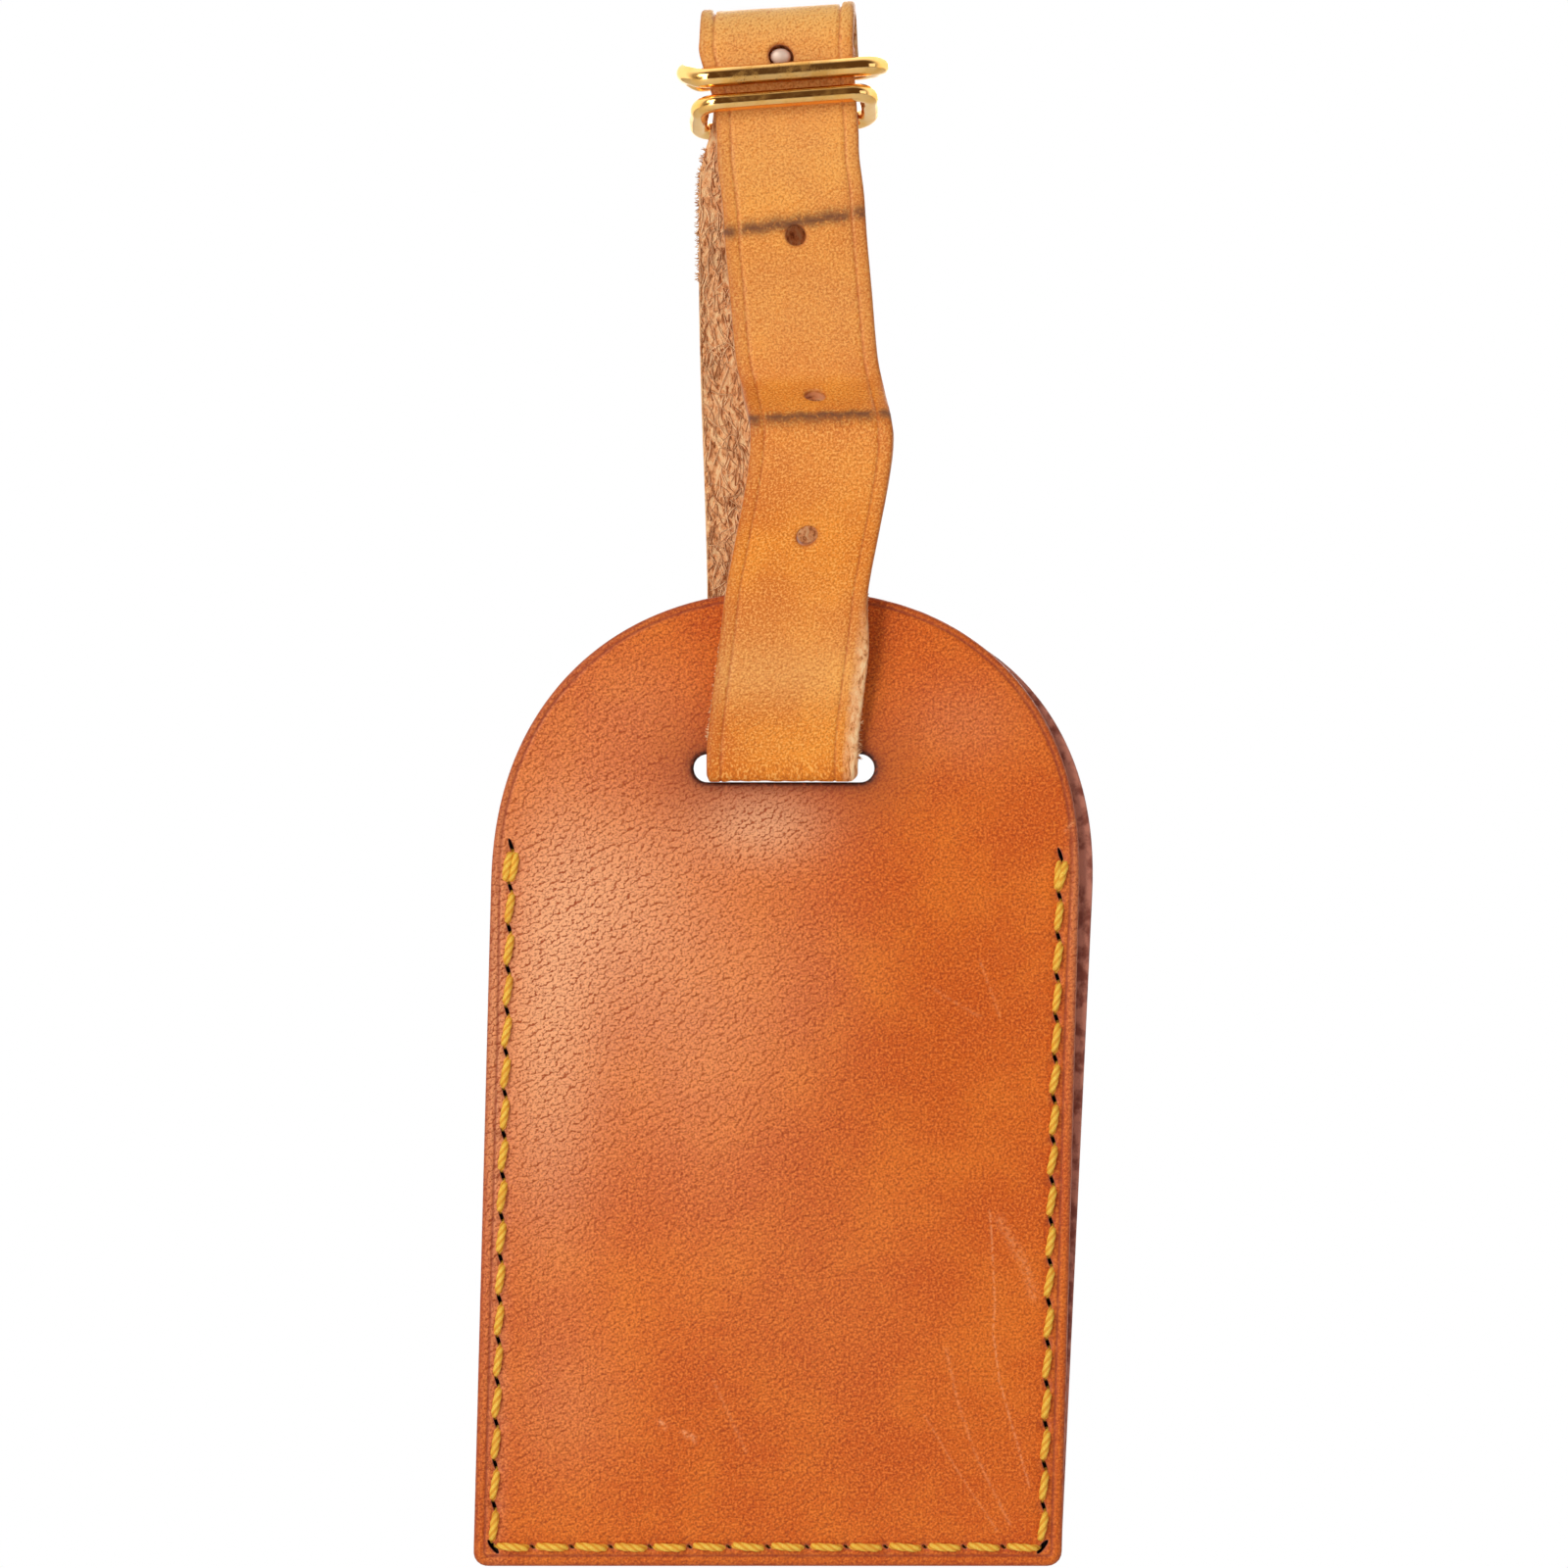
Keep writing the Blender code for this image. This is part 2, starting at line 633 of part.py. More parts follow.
def build_rivet(parts, material):
    """A post from the front of the tongue to the back of the back run, and its domed cap."""
    front_face = -STRAP_THICK / 2
    back_face = BACK_RUN_Y + STRAP_THICK / 2
    length = back_face - front_face + 2 * RIVET_GAP + RIVET_SOCKET - RIVET_END_AIR
    post = (
        (0.0, RIVET_HEAD_THICK),
        (RIVET_HEAD - RIVET_EDGE, RIVET_HEAD_THICK),
        (RIVET_HEAD, RIVET_HEAD_THICK / 2),
        (RIVET_HEAD, 0.0),
        (RIVET_STEM, 0.0),
        (RIVET_STEM, -length),
        (0.0, -length),
    )
    turned("fold_rivet_post", post, RIVET_SIDES, front_face - RIVET_GAP, RIVET_Z, parts, material)
    cap = (
        (0.0, -RIVET_SOCKET),
        (RIVET_SOCKET_RADIUS, -RIVET_SOCKET),
        (RIVET_SOCKET_RADIUS, 0.0),
        (RIVET_HEAD, 0.0),
        (RIVET_HEAD, -RIVET_EDGE),
        (RIVET_HEAD * RIVET_DOME, RIVET_EDGE / 2 - RIVET_CAP_THICK),
        (0.0, -RIVET_CAP_THICK),
    )
    turned("fold_rivet_cap", cap, RIVET_SIDES, back_face + RIVET_GAP, RIVET_Z, parts, material)


def build():
    clear_scene()
    parts = new_collection("luggage_tag")
    cutters = new_collection("cutters")
    leather = new_material("body_leather", LEATHER, 0.5)
    back_leather = new_material("back_leather", LEATHER_BACK, 0.6)
    strap_leather = new_material("strap_leather", STRAP_LEATHER, 0.55)
    brass = new_material("polished_brass", BRASS, 0.15, metallic=1.0)
    thread = new_material("waxed_thread", THREAD, 0.7)
    paper = new_material("card_paper", PAPER, 0.8)
    clear = new_material("clear_film", FILM, 0.1, alpha=0.35)

    build_panels(parts, cutters, leather, back_leather)
    build_card_and_film(parts, paper, clear)
    build_threads(parts, thread)
    build_strap(parts, cutters, strap_leather)
    build_ring(
        "buckle_frame", FRAME_HALF_WIDTH, FRAME_FRONT_BAR, HEEL_BAR, FRAME_WIRE, HEEL_BAR, parts, brass
    )
    build_ring(
        "keeper_loop", KEEPER_HALF_WIDTH, KEEPER_FRONT_BAR, KEEPER_BACK_BAR, KEEPER_WIRE,
        KEEPER_FRONT_BAR, parts, brass,
    )
    build_prong(parts, brass)
    build_rivet(parts, brass)


build()
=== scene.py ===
"""Looks of the leather luggage tag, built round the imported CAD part. Lengths in the tables are in mm."""

import math

import bmesh
import bpy
import numpy as np
from mathutils import Matrix, Vector, kdtree
from mathutils.geometry import delaunay_2d_cdt


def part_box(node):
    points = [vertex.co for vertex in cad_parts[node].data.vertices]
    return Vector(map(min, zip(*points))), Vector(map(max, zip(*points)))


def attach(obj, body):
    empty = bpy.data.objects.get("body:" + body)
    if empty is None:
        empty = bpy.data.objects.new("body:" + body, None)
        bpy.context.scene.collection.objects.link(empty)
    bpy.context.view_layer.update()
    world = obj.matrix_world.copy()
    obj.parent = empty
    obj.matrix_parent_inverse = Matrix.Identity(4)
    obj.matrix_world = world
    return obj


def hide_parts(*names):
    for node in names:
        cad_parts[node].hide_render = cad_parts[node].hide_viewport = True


MM = 0.001
rng = np.random.default_rng(20)

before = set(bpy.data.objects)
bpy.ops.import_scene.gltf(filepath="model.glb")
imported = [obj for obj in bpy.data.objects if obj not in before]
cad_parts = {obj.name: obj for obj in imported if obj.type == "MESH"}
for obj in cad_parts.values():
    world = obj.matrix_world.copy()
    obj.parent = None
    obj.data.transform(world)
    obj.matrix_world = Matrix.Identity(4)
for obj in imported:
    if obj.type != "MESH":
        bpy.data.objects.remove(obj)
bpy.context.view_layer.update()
front_low, front_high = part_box("front_panel")

# ---------------------------------------------------------------- sizes, mostly those of the CAD part

HALF_WIDTH = 33.1
ARCH_TOP = front_high.z / MM
BODY_BOTTOM = front_low.z / MM
ARCH_HEIGHT = 33.2
ARCH_POWER = 2.25
CORNER = 1.6
SIDE_LEAN = 0.026
BACK_LEAN = 0.047
BACK_ARCH_DROP = 1.5
PANEL_THICK = 1.9
PLY_GAP = 0.2
BODY_FACE = PLY_GAP / 2 + PANEL_THICK
SLOT_TOP = -59.65
SLOT_BOTTOM = -62.8
SLOT_HALF_LENGTH = 10.2
SLOT_FLOOR_AIR = 0.4
BODY_MIDDLE_AT_SLOT = 0.5

CARD_WIDTH = 52.0
CARD_HEIGHT = 74.0
CARD_BOTTOM = -147.6
CARD_THICK = 0.4
CARD_CORNER = 1.5
RULE_GAP = 9.0
POCKET_WIDTH = 56.0
POCKET_BOTTOM = -148.1
POCKET_TOP = -63.6
POCKET_DEPTH = 0.9
FILM_WIDTH = 50.0
FILM_HEIGHT = 68.0
FILM_THICK = 0.25
LAYER_GAP = 0.1
WINDOW_WIDTH = 40.0
WINDOW_HEIGHT = 58.0
WINDOW_CORNER = 3.0
PILLOW_HALF_WIDTH = 29.5
BACK_SWELL = 0.35

SEAM_TOP_LEFT = -70.0
SEAM_TOP_RIGHT = -71.0
SEAM_BOTTOM = -148.8
SEAM_INSET = 2.2
SIDE_STITCHES = 17
BOTTOM_STITCHES = 14

STRAP_HALF = 8.0
STRAP_THICK = 1.5
TONGUE_HALF = 6.0
FOLD_HALF = 8.7
FOLD_X = (-0.9, -0.3)
BUCKLE_ROLL = 3.5
RING_ROLL = 4.3
ROLL_FADE = 12.0
HOLE_RADIUS = 1.15
WORN_HOLE_RADIUS = 1.4
HOLE_PLACES = ((0.4, 18.7), (0.0, -1.4), (0.0, -20.1), (0.0, -35.1))

FRAME_WIRE = 1.15
FRAME_HALF_WIDTH = 10.5
KEEPER_WIRE = 1.0
KEEPER_HALF_WIDTH = 9.7
RING_CORNER = 2.0
HEEL_BAR = (2.2, 17.1)
HEEL_SLOT_Z = 13.9
HEEL_SLOT_HALF_WIDTH = 1.2
FRAME_FRONT_BAR = (-3.95, 16.87)
KEEPER_FRONT_BAR = (-3.8, 13.99)
KEEPER_BACK_BAR = (4.85, 11.6)
PRONG_RADIUS = 0.65
PRONG_TIP = (-2.2, 18.7)
RIVET_Z = 4.5
RIVET_STEM = 1.1
RIVET_HEAD = 2.2
RIVET_GAP = 0.15
RIVET_AIR = 0.3
RIVET_OFF_MIDDLE = 1.6
RIVET_RUN_Y = 1.8

FOLD_RADIUS = FRAME_WIRE + 0.3 + STRAP_THICK / 2
BEND_RADIUS = 0.3 + STRAP_THICK / 2
FRONT_RUN_Y = -1.8
TIP_RUN_Y = 6.2
TIP_Z = 14.6
TOP_FOLD_Z = 20.0
TIP_ROUND = 5.0
CREASE_INSET = 1.6

# Heights of the folded-back tongue, and the strap's two runs as (x, y, z), in front with a yaw in degrees.
TONGUE_HEIGHTS = (1.0, 8.0, 14.0)
BACK_RUN_LINE = (
    (0.0, 4.2, 15.0),
    (0.0, 3.3, 13.0),
    (-0.3, 2.3, 11.0),
    (-0.9, 1.85, 9.0),
    (-1.5, 1.8, 6.5),
    (-1.65, 1.8, 2.0),
    (-1.65, 2.9, -3.0),
    (-1.6, 4.4, -10.0),
    (-1.4, 5.5, -19.0),
    (-1.0, 5.9, -30.0),
    (-0.7, 5.8, -41.0),
    (-0.7, 5.0, -51.0),
    (-0.7, 3.7, -58.0),
)
FRONT_RUN_LINE = (
    (-0.65, -3.2, -58.6, 0.0),
    (0.1, -3.75, -52.0, -2.0),
    (0.85, -4.5, -46.5, -3.0),
    (1.5, -5.5, -41.0, -4.0),
    (2.6, -7.2, -35.2, -5.0),
    (3.6, -8.9, -30.0, -6.0),
    (4.15, -9.8, -26.0, -6.0),
    (4.2, -9.9, -23.9, -6.0),
    (4.0, -9.0, -22.3, -6.0),
    (3.5, -6.0, -20.1, -5.0),
    (3.1, -3.5, -18.0, -4.0),
    (2.6, -2.85, -15.5, -2.0),
    (1.9, -2.7, -8.0, 0.0),
    (1.35, -2.75, -2.0, 2.0),
    (1.0, -2.7, 3.0, 2.0),
    (0.5, -2.35, 7.0, 1.0),
    (0.4, -1.85, 10.0, 0.0),
    (0.1, -1.8, 14.0, 0.0),
)


# ---------------------------------------------------------------- node trees


class Nodes:
    """Short calls for building the node tree of a material or of the world."""

    def __init__(self, owner):
        self.owner = owner
        owner.use_nodes = True
        self.tree = owner.node_tree
        self.shader = self.tree.nodes.get("Principled BSDF")

    def put(self, socket, value):
        if isinstance(value, bpy.types.NodeSocket):
            self.tree.links.new(value, socket)
        elif value is not None:
            socket.default_value = value

    def node(self, kind, output, inputs, **settings):
        """A new node with its settings and inputs. Gives one of its outputs."""
        node = self.tree.nodes.new(kind)
        for key, value in settings.items():
            setattr(node, key, value)
        for key, value in inputs.items():
            self.put(node.inputs[key], value)
        return node.outputs[output]

    def attribute(self, name, output="Fac"):
        return self.node("ShaderNodeAttribute", output, {}, attribute_name=name)

    def object_place(self):
        return self.node("ShaderNodeTexCoord", "Object", {})

    def math(self, operation, first, second, clamp=False):
        return self.node("ShaderNodeMath", 0, {0: first, 1: second}, operation=operation, use_clamp=clamp)

    def times(self, first, second):
        return self.math("MULTIPLY", first, second)

    def plus(self, first, second, clamp=False):
        return self.math("ADD", first, second, clamp)

    def mix(self, share, first, second):
        """A colour between the first and the second."""
        return self.node("ShaderNodeMix", 2, {"Factor": share, 6: first, 7: second}, data_type="RGBA")

    def noise(self, vector, scale, detail=3.0, rough=0.55, output="Fac"):
        inputs = {"Vector": vector, "Scale": scale, "Detail": detail, "Roughness": rough}
        return self.node("ShaderNodeTexNoise", output, inputs)

    def dots(self, vector, scale, randomness):
        """Distance from the nearest of many scattered middles in the vector's first two numbers."""
        inputs = {"Vector": vector, "Scale": scale, "Randomness": randomness}
        return self.node("ShaderNodeTexVoronoi", "Distance", inputs, voronoi_dimensions="2D")

    def spread(self, value, low, high, to_low=0.0, to_high=1.0, curve="SMOOTHSTEP"):
        """The value's share of the way from low to high, taken from to_low to to_high."""
        inputs = {"Value": value, "From Min": low, "From Max": high, "To Min": to_low, "To Max": to_high}
        return self.node("ShaderNodeMapRange", 0, inputs, interpolation_type=curve)

    def vector(self, operation, first, second):
        return self.node("ShaderNodeVectorMath", 0, {0: first, 1: second}, operation=operation)

    def scaled(self, vector, scale):
        return self.vector("MULTIPLY", vector, scale)

    def warped(self, vector, scale, amount):
        """The vector pushed about by noise, so that a pattern loses its regularity."""
        push = self.vector("SUBTRACT", self.noise(vector, scale, 2.0, 0.5, "Color"), (0.5, 0.5, 0.5))
        return self.vector("ADD", vector, self.scaled(push, (amount, amount, amount)))

    def bump(self, height, distance, strength):
        return self.node("ShaderNodeBump", 0, {"Height": height, "Distance": distance, "Strength": strength})

    def finish(self, colour, roughness, normal=None, **uniform):
        self.put(self.shader.inputs["Base Color"], colour)
        self.put(self.shader.inputs["Roughness"], roughness)
        self.put(self.shader.inputs["Normal"], normal)
        for key, value in uniform.items():
            self.shader.inputs[key.replace("_", " ")].default_value = value
        return self.owner


def srgb(red, green, blue):
    """A colour given as the 0 to 255 numbers of a screen."""
    linear = []
    for value in (red, green, blue):
        share = value / 255
        linear.append(share / 12.92 if share < 0.04045 else ((share + 0.055) / 1.055) ** 2.4)
    return (*linear, 1.0)


# ---------------------------------------------------------------- camera, light and floor


def add_camera():
    view_width, distance = 0.176, 0.7965
    camera = bpy.data.objects.new("camera", bpy.data.cameras.new("camera"))
    bpy.context.scene.collection.objects.link(camera)
    camera.location = (0.0, -0.8, -0.063)
    camera.rotation_euler = (math.radians(90), 0.0, 0.0)
    camera.data.sensor_width = 36.0
    camera.data.lens = camera.data.sensor_width * distance / view_width
    bpy.context.scene.camera = camera


def add_area_light(name, place, size, power, colour):
    """A light that looks at the middle of the object."""
    light = bpy.data.lights.new(name, "AREA")
    light.shape = "RECTANGLE"
    light.size, light.size_y = size
    light.energy = power
    light.color = colour
    obj = bpy.data.objects.new(name, light)
    bpy.context.scene.collection.objects.link(obj)
    obj.location = place
    middle = Vector((0.0, 0.0, -0.06))
    obj.rotation_euler = (middle - obj.location).to_track_quat("-Z", "Y").to_euler()


def add_world():
    """White behind the object, a soft room for the light, and a bright, dark-fronted tent for reflections."""
    world = bpy.data.worlds.new("studio")
    bpy.context.scene.world = world
    n = Nodes(world)
    n.tree.nodes.clear()
    way = n.node("ShaderNodeTexCoord", "Generated", {})

    def blend(axis, curve, ends):
        """A colour that changes along an axis, from one (place, colour) to the other."""
        along = n.spread(n.node("ShaderNodeSeparateXYZ", axis, {0: way}), -1.0, 1.0, curve="LINEAR")
        blended = n.node("ShaderNodeValToRGB", 0, {0: along})
        ramp = blended.node.color_ramp
        ramp.interpolation = curve
        for element, (position, colour) in zip(ramp.elements, ends):
            element.position = position
            element.color = (*colour, 1.0)
        return blended

    def glow(colour, strength):
        return n.node("ShaderNodeBackground", 0, {"Color": colour, "Strength": strength})

    def choose(ray, others, these):
        share = n.node("ShaderNodeLightPath", ray, {})
        return n.node("ShaderNodeMixShader", 0, {0: share, 1: others, 2: these})

    room = glow(blend("Z", "LINEAR", ((0.25, (0.16, 0.13, 0.11)), (0.8, (0.8, 0.82, 0.85)))), 0.43)
    tent = glow(blend("Y", "EASE", ((0.2, (0.1, 0.055, 0.025)), (0.5, (1.4, 1.35, 1.25)))), 1.0)
    white = glow((1.0, 1.0, 1.0, 1.0), 1.0)
    mixed = choose("Is Camera Ray", choose("Is Glossy Ray", room, tent), white)
    n.put(n.tree.nodes.new("ShaderNodeOutputWorld").inputs["Surface"], mixed)


def add_floor():
    mesh = bpy.data.meshes.new("floor")
    shape = bmesh.new()
    bmesh.ops.create_circle(shape, cap_ends=True, segments=96, radius=1.1)
    bmesh.ops.translate(shape, vec=(0.0, 0.0, -0.3), verts=shape.verts)
    shape.to_mesh(mesh)
    shape.free()
    floor = bpy.data.objects.new("floor", mesh)
    bpy.context.scene.collection.objects.link(floor)
    mesh.materials.append(Nodes(bpy.data.materials.new("floor_white")).finish((0.88, 0.88, 0.88, 1.0), 0.8))


add_camera()
add_world()
add_floor()
add_area_light("key", (-0.5, -0.7, 0.4), (0.45, 0.45), 3.55, (1.0, 0.985, 0.95))
add_area_light("sheen", (-0.42, -0.8, -0.02), (0.22, 0.6), 2.2, (1.0, 0.98, 0.95))
add_area_light("fill", (0.8, -0.7, 0.1), (0.5, 0.6), 1.2, (0.98, 0.98, 1.0))
add_area_light("back", (0.2, 0.9, 0.35), (0.6, 0.6), 4.0, (1.0, 1.0, 1.0))
bpy.context.scene.view_settings.view_transform = "Standard"


# ---------------------------------------------------------------- objects


def make_object(name, verts, faces, material, values):
    """A smooth mesh object from points in mm, with one number per point for each named value."""
    mesh = bpy.data.meshes.new(name)
    mesh.from_pydata([tuple(v) for v in np.asarray(verts) * MM], [], faces)
    mesh.polygons.foreach_set("use_smooth", np.ones(len(mesh.polygons), bool))
    for key, value in values.items():
        mesh.attributes.new(key, "FLOAT", "POINT").data.foreach_set("value", np.asarray(value, np.float32))
    mesh.materials.append(material)
    obj = bpy.data.objects.new(name, mesh)
    bpy.context.scene.collection.objects.link(obj)
    return obj


def hand_over(obj, node, body):
    """Hides the CAD piece that the object stands for, if any, and makes the object move with its body."""
    if node:
        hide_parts(node)
    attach(obj, body)


# ---------------------------------------------------------------- flat leather pieces


def resample(line, gap, closed):
    """Points an even distance apart along a line."""
    line = np.asarray(line, float)
    if closed:
        line = np.vstack([line, line[:1]])
    steps = np.linalg.norm(np.diff(line, axis=0), axis=1)
    along = np.concatenate([[0.0], np.cumsum(steps)])
    count = max(3, int(round(along[-1] / gap)) + 1)
    wanted = np.linspace(0.0, along[-1], count)
    points = np.column_stack([np.interp(wanted, along, line[:, k]) for k in range(line.shape[1])])
    return points[:-1] if closed else points


def sideways(line, closed):
    """Unit vectors to the left of a 2D line at each of its points."""
    if closed:
        ahead = np.roll(line, -1, axis=0) - np.roll(line, 1, axis=0)
    else:
        ahead = np.gradient(line, axis=0)
    ahead /= np.maximum(np.linalg.norm(ahead, axis=1, keepdims=True), 1e-9)
    return np.column_stack([-ahead[:, 1], ahead[:, 0]])


def distance_to(points, line, closed):
    """Distance of each point to a 2D line."""
    line = np.asarray(line, float)
    ends = np.roll(line, -1, axis=0) if closed else line[1:]
    starts = line if closed else line[:-1]
    run = ends - starts
    length2 = np.maximum((run**2).sum(1), 1e-12)
    best = np.empty(len(points))
    for first in range(0, len(points), 2000):
        part = points[first : first + 2000, None, :] - starts[None]
        share = np.clip((part * run).sum(2) / length2, 0.0, 1.0)
        best[first : first + 2000] = np.sqrt(((part - share[..., None] * run) ** 2).sum(2)).min(1)
    return best


def inside(points, loop):
    """Even-odd test of points against a closed 2D loop."""
    loop = np.asarray(loop, float)
    result = np.zeros(len(points), bool)
    low, high = loop.min(0), loop.max(0)
    near = np.flatnonzero(((points >= low) & (points <= high)).all(1))
    x1, y1 = loop[:, 0], loop[:, 1]
    x2, y2 = np.roll(x1, -1), np.roll(y1, -1)
    for first in range(0, len(near), 4000):
        part = points[near[first : first + 4000]]
        px, py = part[:, :1], part[:, 1:]
        crosses = (y1 > py) != (y2 > py)
        with np.errstate(divide="ignore", invalid="ignore"):
            at = x1 + (py - y1) * (x2 - x1) / (y2 - y1)
        result[near[first : first + 4000]] = (crosses & (px < at)).sum(1) % 2 == 1
    return result


def nearest_gap(points, places):
    """Distance of each 2D point to the nearest of the places."""
    tree = kdtree.KDTree(len(places))
    for number, place in enumerate(places):
        tree.insert((place[0], place[1], 0.0), number)
    tree.balance()
    return np.array([tree.find((p[0], p[1], 0.0))[2] for p in points])


def rounded_rectangle(half_width, half_height, radius, steps):
    places = []
    corners = (
        (half_width - radius, half_height - radius),
        (radius - half_width, half_height - radius),
        (radius - half_width, radius - half_height),
        (half_width - radius, radius - half_height),
    )
    for quarter, (x, z) in enumerate(corners):
        for step in range(steps + 1):
            angle = math.radians(90 * quarter + 90 * step / steps)
            places.append((x + radius * math.cos(angle), z + radius * math.sin(angle)))
    return places


def smooth_step(value, low, high):
    share = np.clip((value - low) / (high - low), 0.0, 1.0)
    return share * share * (3 - 2 * share)


class Sheet:
    """A flat piece of leather as triangles in 2D: finer rows along its edges, holes and feature lines.

    The first holes go through it. The others, from the number through on, are blind slits.
    """

    def __init__(self, outline, gap, edge_rows, holes=(), hole_rows=(), hole_gap=0.2, features=(),
                 through=None):
        self.outline = resample(outline, gap * 0.85, True)
        self.holes = [resample(hole, hole_gap, True) for hole in holes]
        self.through = len(self.holes) if through is None else through
        loops = [self.outline, *self.holes]
        self.kept = np.vstack(loops)
        for rows, some_loops, inward in ((edge_rows, loops[:1], 1.0), (hole_rows, loops[1:], -1.0)):
            for distance in rows:
                for loop in some_loops:
                    self.add(loop + sideways(loop, True) * distance * inward, 0.05, loop, distance * 0.9)
        for line, rows, spacing in features:
            line = resample(line, spacing, False)
            for distance in rows:
                for side in (1.0, -1.0) if distance else (1.0,):
                    self.add(line + sideways(line, False) * distance * side, spacing * 0.45)
        low, high = self.outline.min(0), self.outline.max(0)
        columns = np.arange(low[0], high[0] + gap, gap)
        rows = np.arange(low[1], high[1] + gap, gap * 0.87)
        grid = np.array([(x + gap / 2 * (k % 2), y) for k, y in enumerate(rows) for x in columns])
        grid += rng.uniform(-0.12, 0.12, grid.shape) * gap
        self.add(grid, gap * 0.62)
        self.triangulate(loops)

    def add(self, points, clear, loop=None, least=0.0):
        """Keeps the points that are inside, clear of the others and no nearer than least to their loop."""
        points = points[inside(points, self.outline)]
        for hole in self.holes:
            points = points[~inside(points, hole)]
        if loop is not None:
            points = points[distance_to(points, loop, True) > least]
        if len(points):
            self.kept = np.vstack([self.kept, points[nearest_gap(points, self.kept) > clear]])

    def triangulate(self, loops):
        edges, first = [], 0
        for loop in loops:
            count = len(loop)
            edges += [(first + k, first + (k + 1) % count) for k in range(count)]
            first += count
        coords = [Vector((float(p[0]), float(p[1]))) for p in self.kept]
        result = delaunay_2d_cdt(coords, edges, [], 0, 1e-7)
        self.points = np.array([tuple(v) for v in result[0]])
        faces = np.array([f for f in result[2] if len(f) == 3])
        a, b, c = (self.points[faces[:, k]] for k in range(3))
        ab, ac = b - a, c - a
        turned_over = ab[:, 0] * ac[:, 1] - ab[:, 1] * ac[:, 0] < 0
        faces[turned_over] = faces[turned_over][:, ::-1]
        centres = (a + b + c) / 3
        keep = inside(centres, self.outline)
        for hole in self.holes:
            keep &= ~inside(centres, hole)
        blind = np.zeros(len(faces), bool)
        for hole in self.holes[self.through :]:
            blind |= inside(centres, hole)
        self.faces = faces[keep]
        self.floors = faces[blind]
        self.edge = distance_to(self.points, self.outline, True)

    def rims(self):
        """Boundary edges, each as its triangle runs along it."""
        ends = np.concatenate([self.faces[:, [0, 1]], self.faces[:, [1, 2]], self.faces[:, [2, 0]]])
        keys = np.sort(ends, axis=1)
        _, index, count = np.unique(keys, axis=0, return_inverse=True, return_counts=True)
        return ends[count[index.reshape(-1)] == 1]

    def to_object(self, name, place, grain_depth, flesh_depth, attributes, material, fleshy=1.0):
        """A closed solid: the grain face, the flesh face and the wall between them."""
        count = len(self.points)
        rims = self.rims()
        rim_points = np.unique(np.concatenate([rims.ravel(), self.floors.ravel()]).astype(int))
        index = {int(p): k for k, p in enumerate(rim_points)}
        wall_depths = [grain_depth + (flesh_depth - grain_depth) * share for share in (0.3, 0.5, 0.7)]
        wall_starts = [2 * count + row * len(rim_points) for row in range(len(wall_depths))]
        layers = [place(self.points, grain_depth), place(self.points, flesh_depth)]
        layers += [place(self.points, depth)[rim_points] for depth in wall_depths]
        depths = [grain_depth, flesh_depth, *[depth[rim_points] for depth in wall_depths]]

        faces = [tuple(int(v) for v in f) for f in self.faces]
        flesh_faces = np.vstack([self.faces, self.floors])
        faces += [tuple(int(v) + count for v in f[::-1]) for f in flesh_faces]
        blind_points = set(self.floors.ravel().tolist())
        faces += [tuple(wall_starts[-1] + index[int(v)] for v in f) for f in self.floors]
        for a, b in rims.tolist():
            ladder = [(a, b)] + [(start + index[a], start + index[b]) for start in wall_starts]
            if a not in blind_points:
                ladder.append((a + count, b + count))
            for (a0, b0), (a1, b1) in zip(ladder, ladder[1:]):
                faces.append((b0, a0, a1, b1))

        def on_layers(value):
            """The value of each flat point, repeated for the two faces and the wall's rows."""
            return np.concatenate([value, value, *[value[rim_points] for _ in wall_depths]])

        flesh = np.zeros(wall_starts[-1] + len(rim_points))
        flesh[count : 2 * count] = fleshy
        wall = np.zeros(len(flesh))
        wall[count : 2 * count] = 0.9 * (1.0 - flesh[count : 2 * count])
        wall[2 * count :] = 1.0
        wall[rim_points] = 0.6
        wall[rim_points + count] = 0.8
        hollow_shade = np.zeros(len(flesh))
        hollow_shade[2 * count :] = [float(int(p) in blind_points) for p in rim_points] * len(wall_depths)
        values = {"wall": wall, "flesh": flesh, "hollow_shade": hollow_shade}
        values.update((key, on_layers(value)) for key, value in attributes.items())
        obj = make_object(name, np.vstack(layers), faces, material, values)
        flat = np.column_stack([on_layers(self.points), np.concatenate(depths)]) * MM
        sheet = obj.data.attributes.new("sheet", "FLOAT_VECTOR", "POINT")
        sheet.data.foreach_set("vector", flat.astype(np.float32).ravel())
        return obj


def round_drop(distance, radius):
    """How far a rounded edge falls back, by the distance from it."""
    inner = np.clip(radius - distance, 0.0, radius)
    return radius - np.sqrt(np.maximum(radius**2 - inner**2, 0.0))


def ridge(distance, width):
    return np.exp(-((distance / width) ** 2))


# ---------------------------------------------------------------- leather


def pore_shaded_pits(n, sheet, scale):
    """Rows of slanted pores: painted shade on the far side of each raised middle, the same mask sinking the
    pores in the bump.
    """
    turn = {"Vector": sheet, "Axis": (0.0, 0.0, 1.0), "Angle": -0.5}
    leaning = n.node("ShaderNodeVectorRotate", 0, turn, rotation_type="AXIS_ANGLE")
    rows = n.scaled(n.warped(leaning, 900.0, 0.0004), (0.8, 1.15, 1.0))
    strength = n.spread(n.noise(sheet, 700.0, 2.0), 0.35, 0.6, 0.6, 1.0)
    middle = n.dots(rows, scale, 0.8)
    beside = n.vector("ADD", rows, (0.00003, -0.00016, 0.0))
    slope = n.math("SUBTRACT", n.dots(beside, scale, 0.8), middle)
    shaded_pits = n.times(n.spread(slope, 0.02, 0.15), n.spread(middle, 0.2, 0.42))
    return n.times(shaded_pits, strength)


